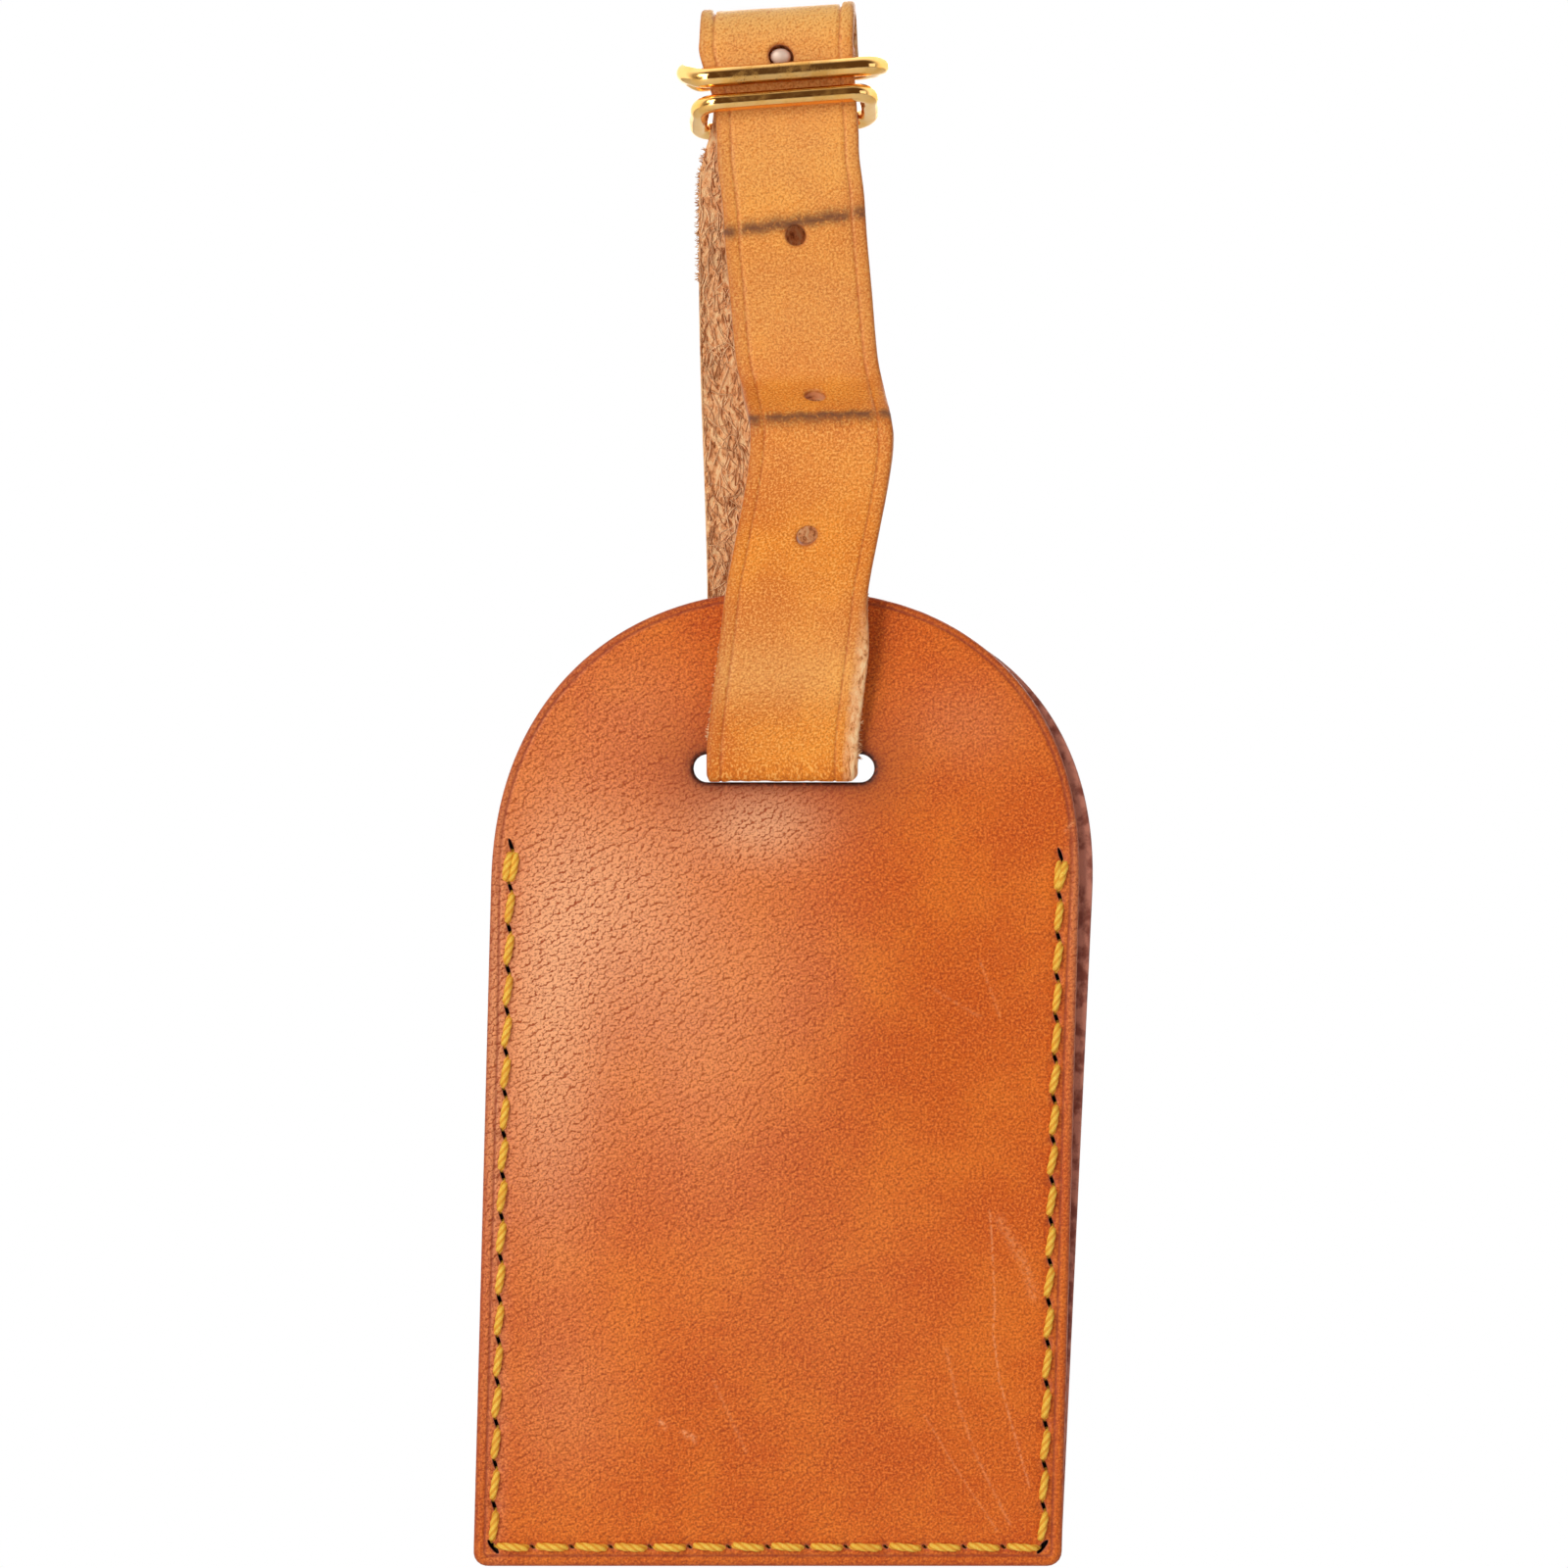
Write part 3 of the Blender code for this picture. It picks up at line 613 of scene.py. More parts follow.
def grain_leather(name, pore_scale, speck_scale, colours):
    """Vegetable-tanned leather: rows of pores with painted shade on their far sides, speckle, mottling, a
    painted sheen, painted shade on creases and rims, scratches and a fibrous flesh side.
    """
    n = Nodes(bpy.data.materials.new(name))
    sheet = n.attribute("sheet", "Vector")
    painted_sheen = n.attribute("painted_sheen")
    grain = n.attribute("grain")
    shaded_pits = pore_shaded_pits(n, sheet, pore_scale)
    speck = n.noise(sheet, speck_scale, 2.0, 0.6)
    dark_speck = n.spread(speck, 0.36, 0.49, 1.0, 0.0)
    light_speck = n.spread(speck, 0.5, 0.63)

    mottle = n.spread(n.noise(sheet, 70.0, 5.0, 0.6), 0.35, 0.68)
    patch = n.spread(n.noise(sheet, 260.0, 3.0), 0.4, 0.65)
    colour = n.mix(mottle, colours["deep"], colours["light"])
    colour = n.mix(n.times(patch, 0.3), colour, colours["deep"])
    raised = n.math("SUBTRACT", 1.0, shaded_pits)
    # Painted sheen: a paler, less saturated colour on the raised cells where the lamps' reflection shows.
    colour = n.mix(n.times(painted_sheen, n.plus(n.times(raised, 0.6), 0.45)), colour, colours["painted_sheen"])
    colour = n.mix(n.times(light_speck, 0.6), colour, n.mix(painted_sheen, colours["glint"], colours["painted_sheen"]))
    shaded_pit_colour = n.mix(painted_sheen, colours["shaded_pit"], colours["pale_pit"])
    # Painted shade: the far side of each pore darkened, more where the grain is stronger and paler under the
    # painted sheen.
    colour = n.mix(n.times(shaded_pits, grain), colour, shaded_pit_colour)
    colour = n.mix(n.times(dark_speck, 0.5), colour, shaded_pit_colour)
    # Painted shade: the crease colour darkens creases, edges, the rims of holes, slot, window and slits, and
    # a wide halo round the slot.
    colour = n.mix(n.attribute("shade"), colour, colours["crease"])
    scratch = n.times(n.attribute("scratch"), n.spread(n.noise(sheet, 2200.0, 3.0), 0.36, 0.58))
    colour = n.mix(scratch, colour, n.mix(0.5, colours["glint"], colours["painted_sheen"]))

    plies = n.scaled(sheet, (0.4, 0.4, 1.6))
    burnished = n.mix(n.spread(n.noise(plies, 1500.0, 4.0), 0.35, 0.6), *colours["wall"])
    colour = n.mix(n.attribute("wall"), colour, burnished)
    fibre = n.noise(n.scaled(n.warped(sheet, 300.0, 0.002), (1.0, 0.35, 1.0)), 2000.0, 6.0, 0.7)
    dark_flesh, mid_flesh, pale_flesh = colours["flesh"]
    fibres = n.mix(n.spread(fibre, 0.42, 0.62), mid_flesh, pale_flesh)
    fibres = n.mix(n.spread(fibre, 0.47, 0.36), fibres, dark_flesh)
    flesh = n.math("MAXIMUM", n.attribute("flesh"), n.attribute("fray"))
    colour = n.mix(flesh, colour, fibres)
    # Real stains across the strap; on the plies, a painted shade ring round the slot.
    stain_and_shade = n.times(n.attribute("stain_and_shade"), n.spread(n.noise(sheet, 1600.0, 4.0), 0.22, 0.5))
    colour = n.mix(stain_and_shade, colour, colours["stain_and_shade"])
    # Painted shade: the floors and walls of the blind slits near black.
    colour = n.mix(n.attribute("hollow_shade"), colour, srgb(24, 10, 5))

    relief = n.times(n.plus(shaded_pits, n.times(dark_speck, 0.4)), n.times(grain, -1.0))
    relief = n.plus(relief, n.times(scratch, -0.6))
    relief = n.plus(relief, n.times(n.times(fibre, flesh), 3.0))
    rough = n.spread(n.noise(sheet, 420.0, 3.0), 0.3, 0.7, 0.42, 0.56)
    rough = n.plus(rough, n.times(flesh, 0.4), clamp=True)
    return n.finish(colour, rough, n.bump(relief, 0.0001, 0.8), Specular_IOR_Level=0.28)


body_leather = grain_leather("tag_leather", 1800.0, 3600.0, {
    "deep": srgb(208, 86, 4),
    "light": srgb(226, 112, 20),
    "glint": srgb(246, 140, 52),
    "painted_sheen": srgb(255, 184, 134),
    "shaded_pit": srgb(138, 46, 4),
    "pale_pit": srgb(172, 70, 24),
    "crease": srgb(146, 58, 34),
    "wall": (srgb(132, 66, 54), srgb(206, 132, 110)),
    "stain_and_shade": srgb(58, 26, 14),
    "flesh": (srgb(130, 70, 40), srgb(190, 120, 74), srgb(214, 160, 116)),
})
strap_leather = grain_leather("strap_leather", 1800.0, 3900.0, {
    "deep": srgb(220, 110, 14),
    "light": srgb(247, 148, 40),
    "glint": srgb(255, 196, 104),
    "painted_sheen": srgb(255, 204, 122),
    "shaded_pit": srgb(176, 80, 14),
    "pale_pit": srgb(200, 108, 44),
    "crease": srgb(168, 78, 30),
    "wall": (srgb(168, 92, 48), srgb(226, 156, 108)),
    "stain_and_shade": srgb(112, 66, 42),
    "flesh": (srgb(162, 96, 52), srgb(240, 166, 108), srgb(255, 212, 158)),
})


# ---------------------------------------------------------------- tag body


def body_middle(z, lean=SIDE_LEAN):
    foot = BODY_MIDDLE_AT_SLOT + SIDE_LEAN * (BODY_BOTTOM - SLOT_TOP)
    return foot + lean * (z - BODY_BOTTOM)


def body_outline(arch_top, lean):
    """The outline from the foot of the right side, up over the arch and down the left side."""
    right = []
    for step in range(9):
        angle = math.radians(-90 + 90 * step / 8)
        across = HALF_WIDTH - CORNER + CORNER * math.cos(angle)
        right.append((across, BODY_BOTTOM + CORNER + CORNER * math.sin(angle)))
    for step in range(41):
        turn = math.radians(90 * step / 40)
        across = HALF_WIDTH * math.cos(turn) ** (2 / ARCH_POWER)
        up = ARCH_HEIGHT * math.sin(turn) ** (2 / ARCH_POWER)
        right.append((across, arch_top - ARCH_HEIGHT + up))
    left = [(-x, z) for x, z in reversed(right[:-1])]
    return [(x + body_middle(z, lean), z) for x, z in right + left]


def seam_holes():
    """Stitch hole middles down the left side, along the bottom and up the right side."""
    half = HALF_WIDTH - SEAM_INSET
    left, bottom, right = [], [], []
    for step in range(SIDE_STITCHES + 1):
        share = step / SIDE_STITCHES
        z = SEAM_TOP_LEFT + (SEAM_BOTTOM - SEAM_TOP_LEFT) * share
        left.append((body_middle(z) - half, z))
        z = SEAM_TOP_RIGHT + (SEAM_BOTTOM - SEAM_TOP_RIGHT) * share
        right.insert(0, (body_middle(z) + half, z))
    for step in range(1, BOTTOM_STITCHES):
        bottom.append((body_middle(SEAM_BOTTOM) - half + 2 * half * step / BOTTOM_STITCHES, SEAM_BOTTOM))
    return np.array(left), np.array(bottom), np.array(right)


def slit_loops():
    """Slanted lens-shaped slits, as loops of points."""
    left, bottom, right = seam_holes()
    loops = []
    for group, turn, length, width in (
        (left[:-1], 108.0, 1.9, 0.42),
        (right[1:], 108.0, 1.9, 0.42),
        (bottom, 150.0, 0.75, 0.34),
        (left[-1:], 128.0, 2.0, 0.62),
        (right[:1], 52.0, 2.0, 0.62),
    ):
        angle = math.radians(turn)
        for x, z in group:
            loop = []
            for step in range(12):
                around = 2 * math.pi * step / 12
                a, b = length / 2 * math.cos(around), width / 2 * math.sin(around)
                loop.append((x + a * math.cos(angle) - b * math.sin(angle),
                             z + a * math.sin(angle) + b * math.cos(angle)))
            loops.append(loop)
    return loops


# Scratches and scuffs on the front ply as (strength, width, points).
SCRATCHES = (
    (0.55, 0.12, ((23.2, -111.4), (23.7, -121.3), (23.5, -124.6), (24.2, -130.1), (26.4, -137.8),
                  (27.5, -141.7))),
    (0.35, 0.16, ((18.3, -126.8), (19.5, -132.3), (20.9, -136.7), (22.6, -140.6), (25.3, -146.1))),
    (0.35, 0.12, ((15.8, -134.0), (18.7, -138.9), (21.5, -143.3), (23.7, -146.6))),
    (0.35, 0.5, ((24.2, -112.0), (27.0, -116.9), (28.1, -120.8))),
    (0.3, 0.14, ((16.5, -85.9), (21.5, -88.9))),
    (0.3, 0.14, ((22.0, -82.8), (24.2, -88.9))),
    (0.3, 0.16, ((-7.9, -130.1), (-4.4, -137.8))),
    (0.7, 0.14, ((31.6, -68.2), (32.9, -67.0), (34.0, -66.0))),
    (0.9, 0.25, ((-13.9, -134.7), (-13.5, -135.1))),
    (0.9, 0.25, ((-11.2, -135.9), (-10.9, -136.2))),
    (0.8, 0.25, ((-10.5, -136.2), (-10.1, -136.6))),
)


def painted_sheen_of(x, z):
    """Painted sheen: where the lamps' broad reflection lies on the waxed surface, down the left side and
    below the slot.
    """
    blobs = (
        (-27.0, -90.0, 6.5, 23.0, 0.66),
        (-19.5, -75.0, 10.0, 12.0, 0.5),
        (-2.5, -67.0, 7.0, 4.5, 0.8),
        (-17.0, -54.0, 8.0, 7.0, 0.15),
        (-32.5, -110.0, 1.2, 40.0, 0.3),
        (-11.0, -90.0, 11.0, 18.0, 0.3),
        (-25.0, -133.0, 7.0, 9.0, 0.14),
        (2.0, -84.0, 8.0, 13.0, 0.1),
        (3.0, -118.0, 14.0, 18.0, 0.06),
        (20.0, -56.0, 7.0, 5.0, 0.15),
        (33.5, -90.0, 1.2, 30.0, 0.5),
    )
    total = np.zeros(len(x))
    for bx, bz, sx, sz, strength in blobs:
        total += strength * np.exp(-(((x - bx) / sx) ** 2) - ((z - bz) / sz) ** 2)
    return np.clip(total, 0.0, 0.85)


def pillow_of(x, z, side):
    """How far a ply stands out round the card, with the slow waves of used leather."""
    across = np.clip(1.0 - ((x - body_middle(z)) / PILLOW_HALF_WIDTH) ** 2, 0.0, 1.0)
    up = smooth_step(z, -148.5, -128.0) * smooth_step(-z, 64.5, 84.0)
    waves = 0.16 * np.sin(x / 9.0 + 0.6) * np.sin(z / 17.0 + 1.3) + 0.1 * np.sin(x / 5.2 - z / 13.0)
    return (across + waves) * across**0.5 * up * (1.0 if side < 0 else BACK_SWELL)


def build_panel(name, side):
    """side is -1 for the front ply and 1 for the back one. The sheet is flat in (x * -side, z)."""
    flip = -side
    card_z = CARD_BOTTOM + CARD_HEIGHT / 2

    def flipped(loop, x_add=0.0, z_add=0.0):
        """The loop moved into place in the sheet's flat measure, running the same way on both plies."""
        loop = [((x + x_add) * flip, z + z_add) for x, z in loop]
        return loop if flip > 0 else loop[::-1]

    slot_half = (SLOT_TOP - SLOT_BOTTOM) / 2
    slot = rounded_rectangle(SLOT_HALF_LENGTH, slot_half, slot_half - 0.01, 8)
    holes = [flipped(slot, 0.0, (SLOT_TOP + SLOT_BOTTOM) / 2)]
    if side < 0:
        outline = flipped(body_outline(ARCH_TOP, SIDE_LEAN))
        scratches = SCRATCHES
    else:
        outline = flipped(body_outline(ARCH_TOP - BACK_ARCH_DROP, BACK_LEAN))
        scratches = ()
        window = rounded_rectangle(WINDOW_WIDTH / 2, WINDOW_HEIGHT / 2, WINDOW_CORNER, 6)
        holes.append(flipped(window, body_middle(card_z), card_z))
    big_holes = len(holes)
    holes += [flipped(loop) for loop in slit_loops()]
    features = [(points, (0.0, width * 0.8, width * 1.8), 0.3) for _, width, points in scratches]
    sheet = Sheet(
        outline, 0.62, (0.07, 0.17, 0.32, 0.52, 0.8, 1.0, 1.12, 1.24, 1.38, 1.6, 1.95),
        holes, (0.1, 0.25, 0.5), 0.2, features, big_holes,
    )
    x, z = sheet.points[:, 0] * flip, sheet.points[:, 1]
    slot_gap = distance_to(sheet.points, sheet.holes[0], True)
    rim_gap = slot_gap
    if side > 0:
        rim_gap = np.minimum(rim_gap, distance_to(sheet.points, sheet.holes[1], True))
    slit_gap = nearest_gap(sheet.points, [np.mean(hole, axis=0) for hole in sheet.holes[big_holes:]])
    seam_gap = distance_to(sheet.points, np.vstack(seam_holes()) * (flip, 1.0), False)

    crease_at = 0.8 + 0.4 * smooth_step(-z, 62.0, 92.0)
    crease = ridge(sheet.edge - crease_at, 0.15)
    grain_depth = round_drop(sheet.edge, 0.55) + 0.16 * crease
    grain_depth += round_drop(rim_gap, 0.35) + 0.22 * ridge(slit_gap, 0.75) + 0.1 * ridge(seam_gap, 0.7)
    flesh_depth = PANEL_THICK - round_drop(sheet.edge, 0.3)
    if side > 0:
        pocket_middle = (POCKET_TOP + POCKET_BOTTOM) / 2
        reach_x = POCKET_WIDTH / 2 - np.abs(x - body_middle(card_z))
        reach_z = (POCKET_TOP - POCKET_BOTTOM) / 2 - np.abs(z - pocket_middle)
        flesh_depth -= POCKET_DEPTH * smooth_step(np.minimum(reach_x, reach_z), 0.0, 0.9)
    scratch = np.zeros(len(x))
    for strength, width, points in scratches:
        scratch = np.maximum(scratch, strength * ridge(distance_to(sheet.points, points, False), width))
    # Painted sheen from the table above on the front ply, and a faint even one on the back ply.
    painted_sheen = painted_sheen_of(x, z) if side < 0 else 0.15 * np.ones(len(x))
    attributes = {
        "painted_sheen": painted_sheen,
        "grain": np.clip(0.42 + 0.6 * painted_sheen - 0.22 * smooth_step(x, 0.0, 24.0), 0.14, 0.9),
        "shade": np.clip(
            0.75 * crease + 0.55 * ridge(sheet.edge, 0.5) + 0.5 * ridge(rim_gap, 0.45)
            + 0.45 * ridge(slot_gap, 5.0) + 0.55 * ridge(slit_gap, 0.5) + 0.1 * ridge(seam_gap, 0.9),
            0.0, 0.9,
        ),
        "scratch": scratch,
        # Painted shade: a near-black ring round the slot's edge.
        "stain_and_shade": np.clip(ridge(slot_gap, 0.3) + 0.35 * ridge(slot_gap, 1.1), 0.0, 0.95),
    }

    def place(points, depth):
        px, pz = points[:, 0] * flip, points[:, 1]
        return np.column_stack([px, side * (BODY_FACE - depth + pillow_of(px, pz, side)), pz])

    fleshy = smooth_step(sheet.edge, 2.0, 4.5)
    panel = sheet.to_object(name, place, grain_depth, flesh_depth, attributes, body_leather, fleshy)
    hand_over(panel, name.replace("_leather", "_panel"),
              "tag_body")


build_panel("front_leather", -1.0)
build_panel("back_leather", 1.0)


# ---------------------------------------------------------------- strap


def bend_stations(middle, radius, start, stop, steps, x_start, x_end):
    places = []
    for step in range(steps + 1):
        share = step / steps
        angle = math.radians(start + (stop - start) * share)
        y, z = middle[0] + radius * math.cos(angle), middle[1] + radius * math.sin(angle)
        places.append((x_start + (x_end - x_start) * share, y, z, 0.0))
    return places


def strap_stations():
    """(x, y, z, yaw, half width) from the folded-back tongue round to the free tip."""
    heel = bend_stations(HEEL_BAR, FOLD_RADIUS, 180, 0, 8, 0.0, 0.0)
    bend_z = SLOT_BOTTOM + SLOT_FLOOR_AIR + STRAP_THICK / 2 + BEND_RADIUS
    back_bend = bend_stations((BODY_FACE, bend_z), BEND_RADIUS, 0, -90, 4, -0.7, -0.7)
    front_bend = bend_stations((-BODY_FACE, bend_z), BEND_RADIUS, -90, -180, 4, -0.7, -0.7)
    fold_radius = (TIP_RUN_Y - FRONT_RUN_Y) / 2
    fold = bend_stations((FRONT_RUN_Y + fold_radius, TOP_FOLD_Z), fold_radius, 180, 0, 12, *FOLD_X)
    tongue = [(0.0, 0.0, z, 0.0, TONGUE_HALF) for z in TONGUE_HEIGHTS]
    back_run = [(*place, 0.0) for place in BACK_RUN_LINE]
    runs = [*heel, *back_run, *back_bend, *front_bend, *FRONT_RUN_LINE]
    over = [(*place, FOLD_HALF) for place in fold]
    tip_heights = (TOP_FOLD_Z + (TIP_Z - TOP_FOLD_Z) * share for share in (0.5, 1.0))
    tip = [(0.0, TIP_RUN_Y, z, 0.0, FOLD_HALF) for z in tip_heights]
    return np.array(tongue + [(*place, STRAP_HALF) for place in runs] + over + tip)


def spline_through(stations, gap):
    """A smooth line through the stations, as rows of the same numbers an even distance apart."""
    padded = np.vstack([2 * stations[0] - stations[1], stations, 2 * stations[-1] - stations[-2]])
    rows = []
    for p0, p1, p2, p3 in zip(padded, padded[1:], padded[2:], padded[3:]):
        spans = [math.sqrt(np.linalg.norm(b[:3] - a[:3])) for a, b in ((p0, p1), (p1, p2), (p2, p3))]
        t0, t1 = 0.0, spans[0]
        t2 = t1 + spans[1]
        t3 = t2 + spans[2]
        for t in np.linspace(t1, t2, 12, endpoint=False):
            a1 = (t1 - t) / (t1 - t0) * p0 + (t - t0) / (t1 - t0) * p1
            a2 = (t2 - t) / (t2 - t1) * p1 + (t - t1) / (t2 - t1) * p2
            a3 = (t3 - t) / (t3 - t2) * p2 + (t - t2) / (t3 - t2) * p3
            b1 = (t2 - t) / (t2 - t0) * a1 + (t - t0) / (t2 - t0) * a2
            b2 = (t3 - t) / (t3 - t1) * a2 + (t - t1) / (t3 - t1) * a3
            rows.append((t2 - t) / (t2 - t1) * b1 + (t - t1) / (t2 - t1) * b2)
    rows.append(stations[-1])
    rows = np.array(rows)
    along = np.concatenate([[0.0], np.cumsum(np.linalg.norm(np.diff(rows[:, :3], axis=0), axis=1))])
    wanted = np.linspace(0.0, along[-1], int(along[-1] / gap) + 1)
    return wanted, np.column_stack([np.interp(wanted, along, rows[:, k]) for k in range(rows.shape[1])])


strap_along, strap_line = spline_through(strap_stations(), 0.1)
strap_length = strap_along[-1]
strap_half_at = strap_line[:, 4]
strap_tangent = np.gradient(strap_line[:, :3], strap_along, axis=0)
strap_tangent /= np.linalg.norm(strap_tangent, axis=1, keepdims=True)
roll = np.radians(BUCKLE_ROLL) * np.clip((strap_line[:, 2] + ROLL_FADE) / ROLL_FADE, 0.0, 1.0)
yaw = np.radians(strap_line[:, 3])
strap_across = np.column_stack([np.cos(yaw) * np.cos(roll), np.sin(yaw), np.sin(roll)])
strap_across /= np.linalg.norm(strap_across, axis=1, keepdims=True)
strap_out = np.cross(strap_across, strap_tangent)
strap_out /= np.linalg.norm(strap_out, axis=1, keepdims=True)


def strap_place(points, depth):
    """Maps (across, along) on the flat strap and a depth under its grain face into space."""
    t, s = points[:, 0], points[:, 1]
    columns = [strap_line[:, :3], strap_across, strap_out]
    middle, across, out = (
        np.column_stack([np.interp(s, strap_along, column[:, k]) for k in range(3)]) for column in columns
    )
    return middle + across * t[:, None] + out * (STRAP_THICK / 2 - depth)[:, None]


def along_front(z):
    """Distance along the strap where its front run is at a height."""
    front = np.flatnonzero((strap_line[:, 1] < -1.5) & (strap_line[:, 2] > -60.0))
    return float(strap_along[front[np.abs(strap_line[front, 2] - z).argmin()]])


def along_back(z):
    back = np.flatnonzero((strap_line[:, 1] > 1.2) & (strap_along < along_front(-58.0)))
    back = back[strap_line[back, 2] < 14.0]
    return float(strap_along[back[np.abs(strap_line[back, 2] - z).argmin()]])


def circle(middle, radius, steps=20):
    turns = [2 * math.pi * k / steps for k in range(steps)]
    return [(middle[0] + radius * math.cos(turn), middle[1] + radius * math.sin(turn)) for turn in turns]


def strap_outline():
    """The flat strap's outline in (across, along): a narrow tongue, the long band and a rounded tip."""
    rows = np.arange(0.0, strap_length, 0.5)
    half = np.interp(rows, strap_along, strap_half_at)
    tip_start = strap_length - TIP_ROUND
    right = [(h, s) for h, s in zip(half, rows) if s < tip_start]
    tip = []
    for step in range(1, 25):
        angle = math.radians(90 * step / 25)
        tip.append((FOLD_HALF * math.cos(angle) ** 0.8, tip_start + TIP_ROUND * math.sin(angle)))
    right = right + tip
    left = [(-t, s) for t, s in reversed(right)]
    return right + left


def build_strap():
    holes = [circle((x, along_front(z)), HOLE_RADIUS) for x, z in HOLE_PLACES[1:]]
    holes.append(circle((HOLE_PLACES[0][0], along_front(HOLE_PLACES[0][1])), WORN_HOLE_RADIUS))
    # The prong's slot runs round the heel fold, and a little past it on both sides.
    quarter_fold = math.pi * FOLD_RADIUS / 2
    heel_start = float(strap_along[np.abs(strap_line[:2000, 2] - HEEL_SLOT_Z).argmin()])
    heel_middle = heel_start + 3.4 + quarter_fold
    heel_slot = rounded_rectangle(HEEL_SLOT_HALF_WIDTH, 3.2 + quarter_fold, HEEL_SLOT_HALF_WIDTH - 0.05, 5)
    holes.append([(x, s + heel_middle) for x, s in heel_slot])
    holes.append(circle((0.0, RIVET_Z - 1.0), RIVET_STEM + RIVET_AIR))
    holes.append(circle((RIVET_OFF_MIDDLE, along_back(RIVET_Z)), RIVET_STEM + RIVET_AIR))
    sheet = Sheet(strap_outline(), 0.5, (0.07, 0.17, 0.32, 0.5, 0.85, 1.2, 1.4, 1.52, 1.64, 1.8, 2.1), holes,
                  (0.08, 0.2, 0.4), 0.22)
    t, s = sheet.points[:, 0], sheet.points[:, 1]
    hole_gap = np.full(len(t), 9.0)
    for hole in sheet.holes:
        hole_gap = np.minimum(hole_gap, distance_to(sheet.points, hole, True))
    crease = ridge(sheet.edge - CREASE_INSET, 0.13) * smooth_step(s, 14.0, 18.0)
    fold_top = float(strap_along[strap_line[:, 2].argmax()])
    at_fold = ridge(s - fold_top, 3.0)
    mouth = np.flatnonzero((strap_line[:, 2] < -60.0) & (strap_line[:, 1] < 0.0))
    mouth = float(strap_along[mouth[np.abs(strap_line[mouth, 1] + 2.45).argmin()]])
    grain_depth = round_drop(sheet.edge, 0.45) + (0.13 + 0.3 * at_fold) * crease + round_drop(hole_gap, 0.3)
    grain_depth -= 0.25 * at_fold * smooth_step(CREASE_INSET - sheet.edge, 0.0, 0.5)
    bulge = 0.55 * ridge(s - mouth, np.where(s > mouth, 0.65, 0.35))
    grain_depth -= bulge * smooth_step(sheet.edge, 0.0, 0.4)
    rough_flesh = 0.05 * np.sin(t * 5.1 + s * 2.3) + 0.05 * np.sin(s * 6.7 - t * 3.1)
    rough_flesh += rng.uniform(-0.05, 0.05, len(t))
    flesh_depth = STRAP_THICK - round_drop(sheet.edge, 0.25) + rough_flesh
    stain_and_shade = np.zeros(len(t))
    for z_left, z_right, above, below in ((-0.7, 0.66, 0.85, 0.7), (-22.7, -22.0, 0.4, 1.0)):
        middle = along_front((z_left + z_right) / 2) + (z_right - z_left) / 16.0 * t
        past = s - middle - 0.1 * np.sin(t * 2.1) - 0.06 * np.sin(t * 5.3)
        stain_and_shade = np.maximum(stain_and_shade, 0.95 * ridge(past, np.where(past > 0.0, above, below)))
    stain_and_shade *= 1.0 - 0.7 * ridge(sheet.edge - CREASE_INSET, 0.4)
    kink = along_front(-22.1)
    front_low, front_top = along_front(-58.0), along_front(18.0)
    on_front = smooth_step(s, front_low - 3, front_low) * (1 - smooth_step(s, front_top, front_top + 4))
    # Painted sheen on the strap: along the upper front run, round the height of -51 mm and over the top fold.
    painted_sheen = 0.1 * np.sin(s / 6.1) ** 2 + 0.3 * ridge(s - along_front(-51.0), 4.0)
    painted_sheen += 0.22 * smooth_step(s, along_front(-30.0), along_front(-2.0)) + 0.5 * ridge(s - fold_top, 9.0)
    frayed = smooth_step(s, mouth - 1.5, mouth) * (1 - smooth_step(s, along_front(-50.0), along_front(-41.0)))
    attributes = {
        "painted_sheen": np.clip(painted_sheen * np.maximum(on_front, ridge(s - fold_top, 9.0)), 0.0, 0.85),
        "grain": 0.12 + 0.2 * ridge(s - kink, 4.0) + 0.25 * ridge(s - along_front(-55.0), 4.0),
        "fray": frayed * smooth_step(t, 7.25, 7.7),
        "shade": np.clip(0.5 * crease + 0.35 * ridge(sheet.edge, 0.45) + 0.4 * ridge(hole_gap, 0.3)
                         + 0.12 * (1 - smooth_step(sheet.edge, 0.9, CREASE_INSET)), 0.0, 0.9),
        "scratch": 0.0 * t,
        "stain_and_shade": stain_and_shade,
    }
    sheet.points[:, 0] += frayed * smooth_step(t, 7.2, 8.0)
    strap = sheet.to_object("strap_leather", strap_place, grain_depth, flesh_depth, attributes, strap_leather)
    hand_over(strap, "strap", "strap_loop")


build_strap()


# ---------------------------------------------------------------- tubes and turned shapes


def frames_along(path, closed):
    """Two unit vectors square to the path at each point, carried along without twist."""
    if closed:
        tangent = np.roll(path, -1, axis=0) - np.roll(path, 1, axis=0)
    else:
        tangent = np.gradient(path, axis=0)
    tangent /= np.linalg.norm(tangent, axis=1, keepdims=True)
    start = np.array((0.0, 1.0, 0.0)) if abs(tangent[0][1]) < 0.9 else np.array((1.0, 0.0, 0.0))
    first = []
    for direction in tangent:
        start = start - direction * start.dot(direction)
        start = start / np.linalg.norm(start)
        first.append(start)
    first = np.array(first)
    return first, np.cross(tangent, first)


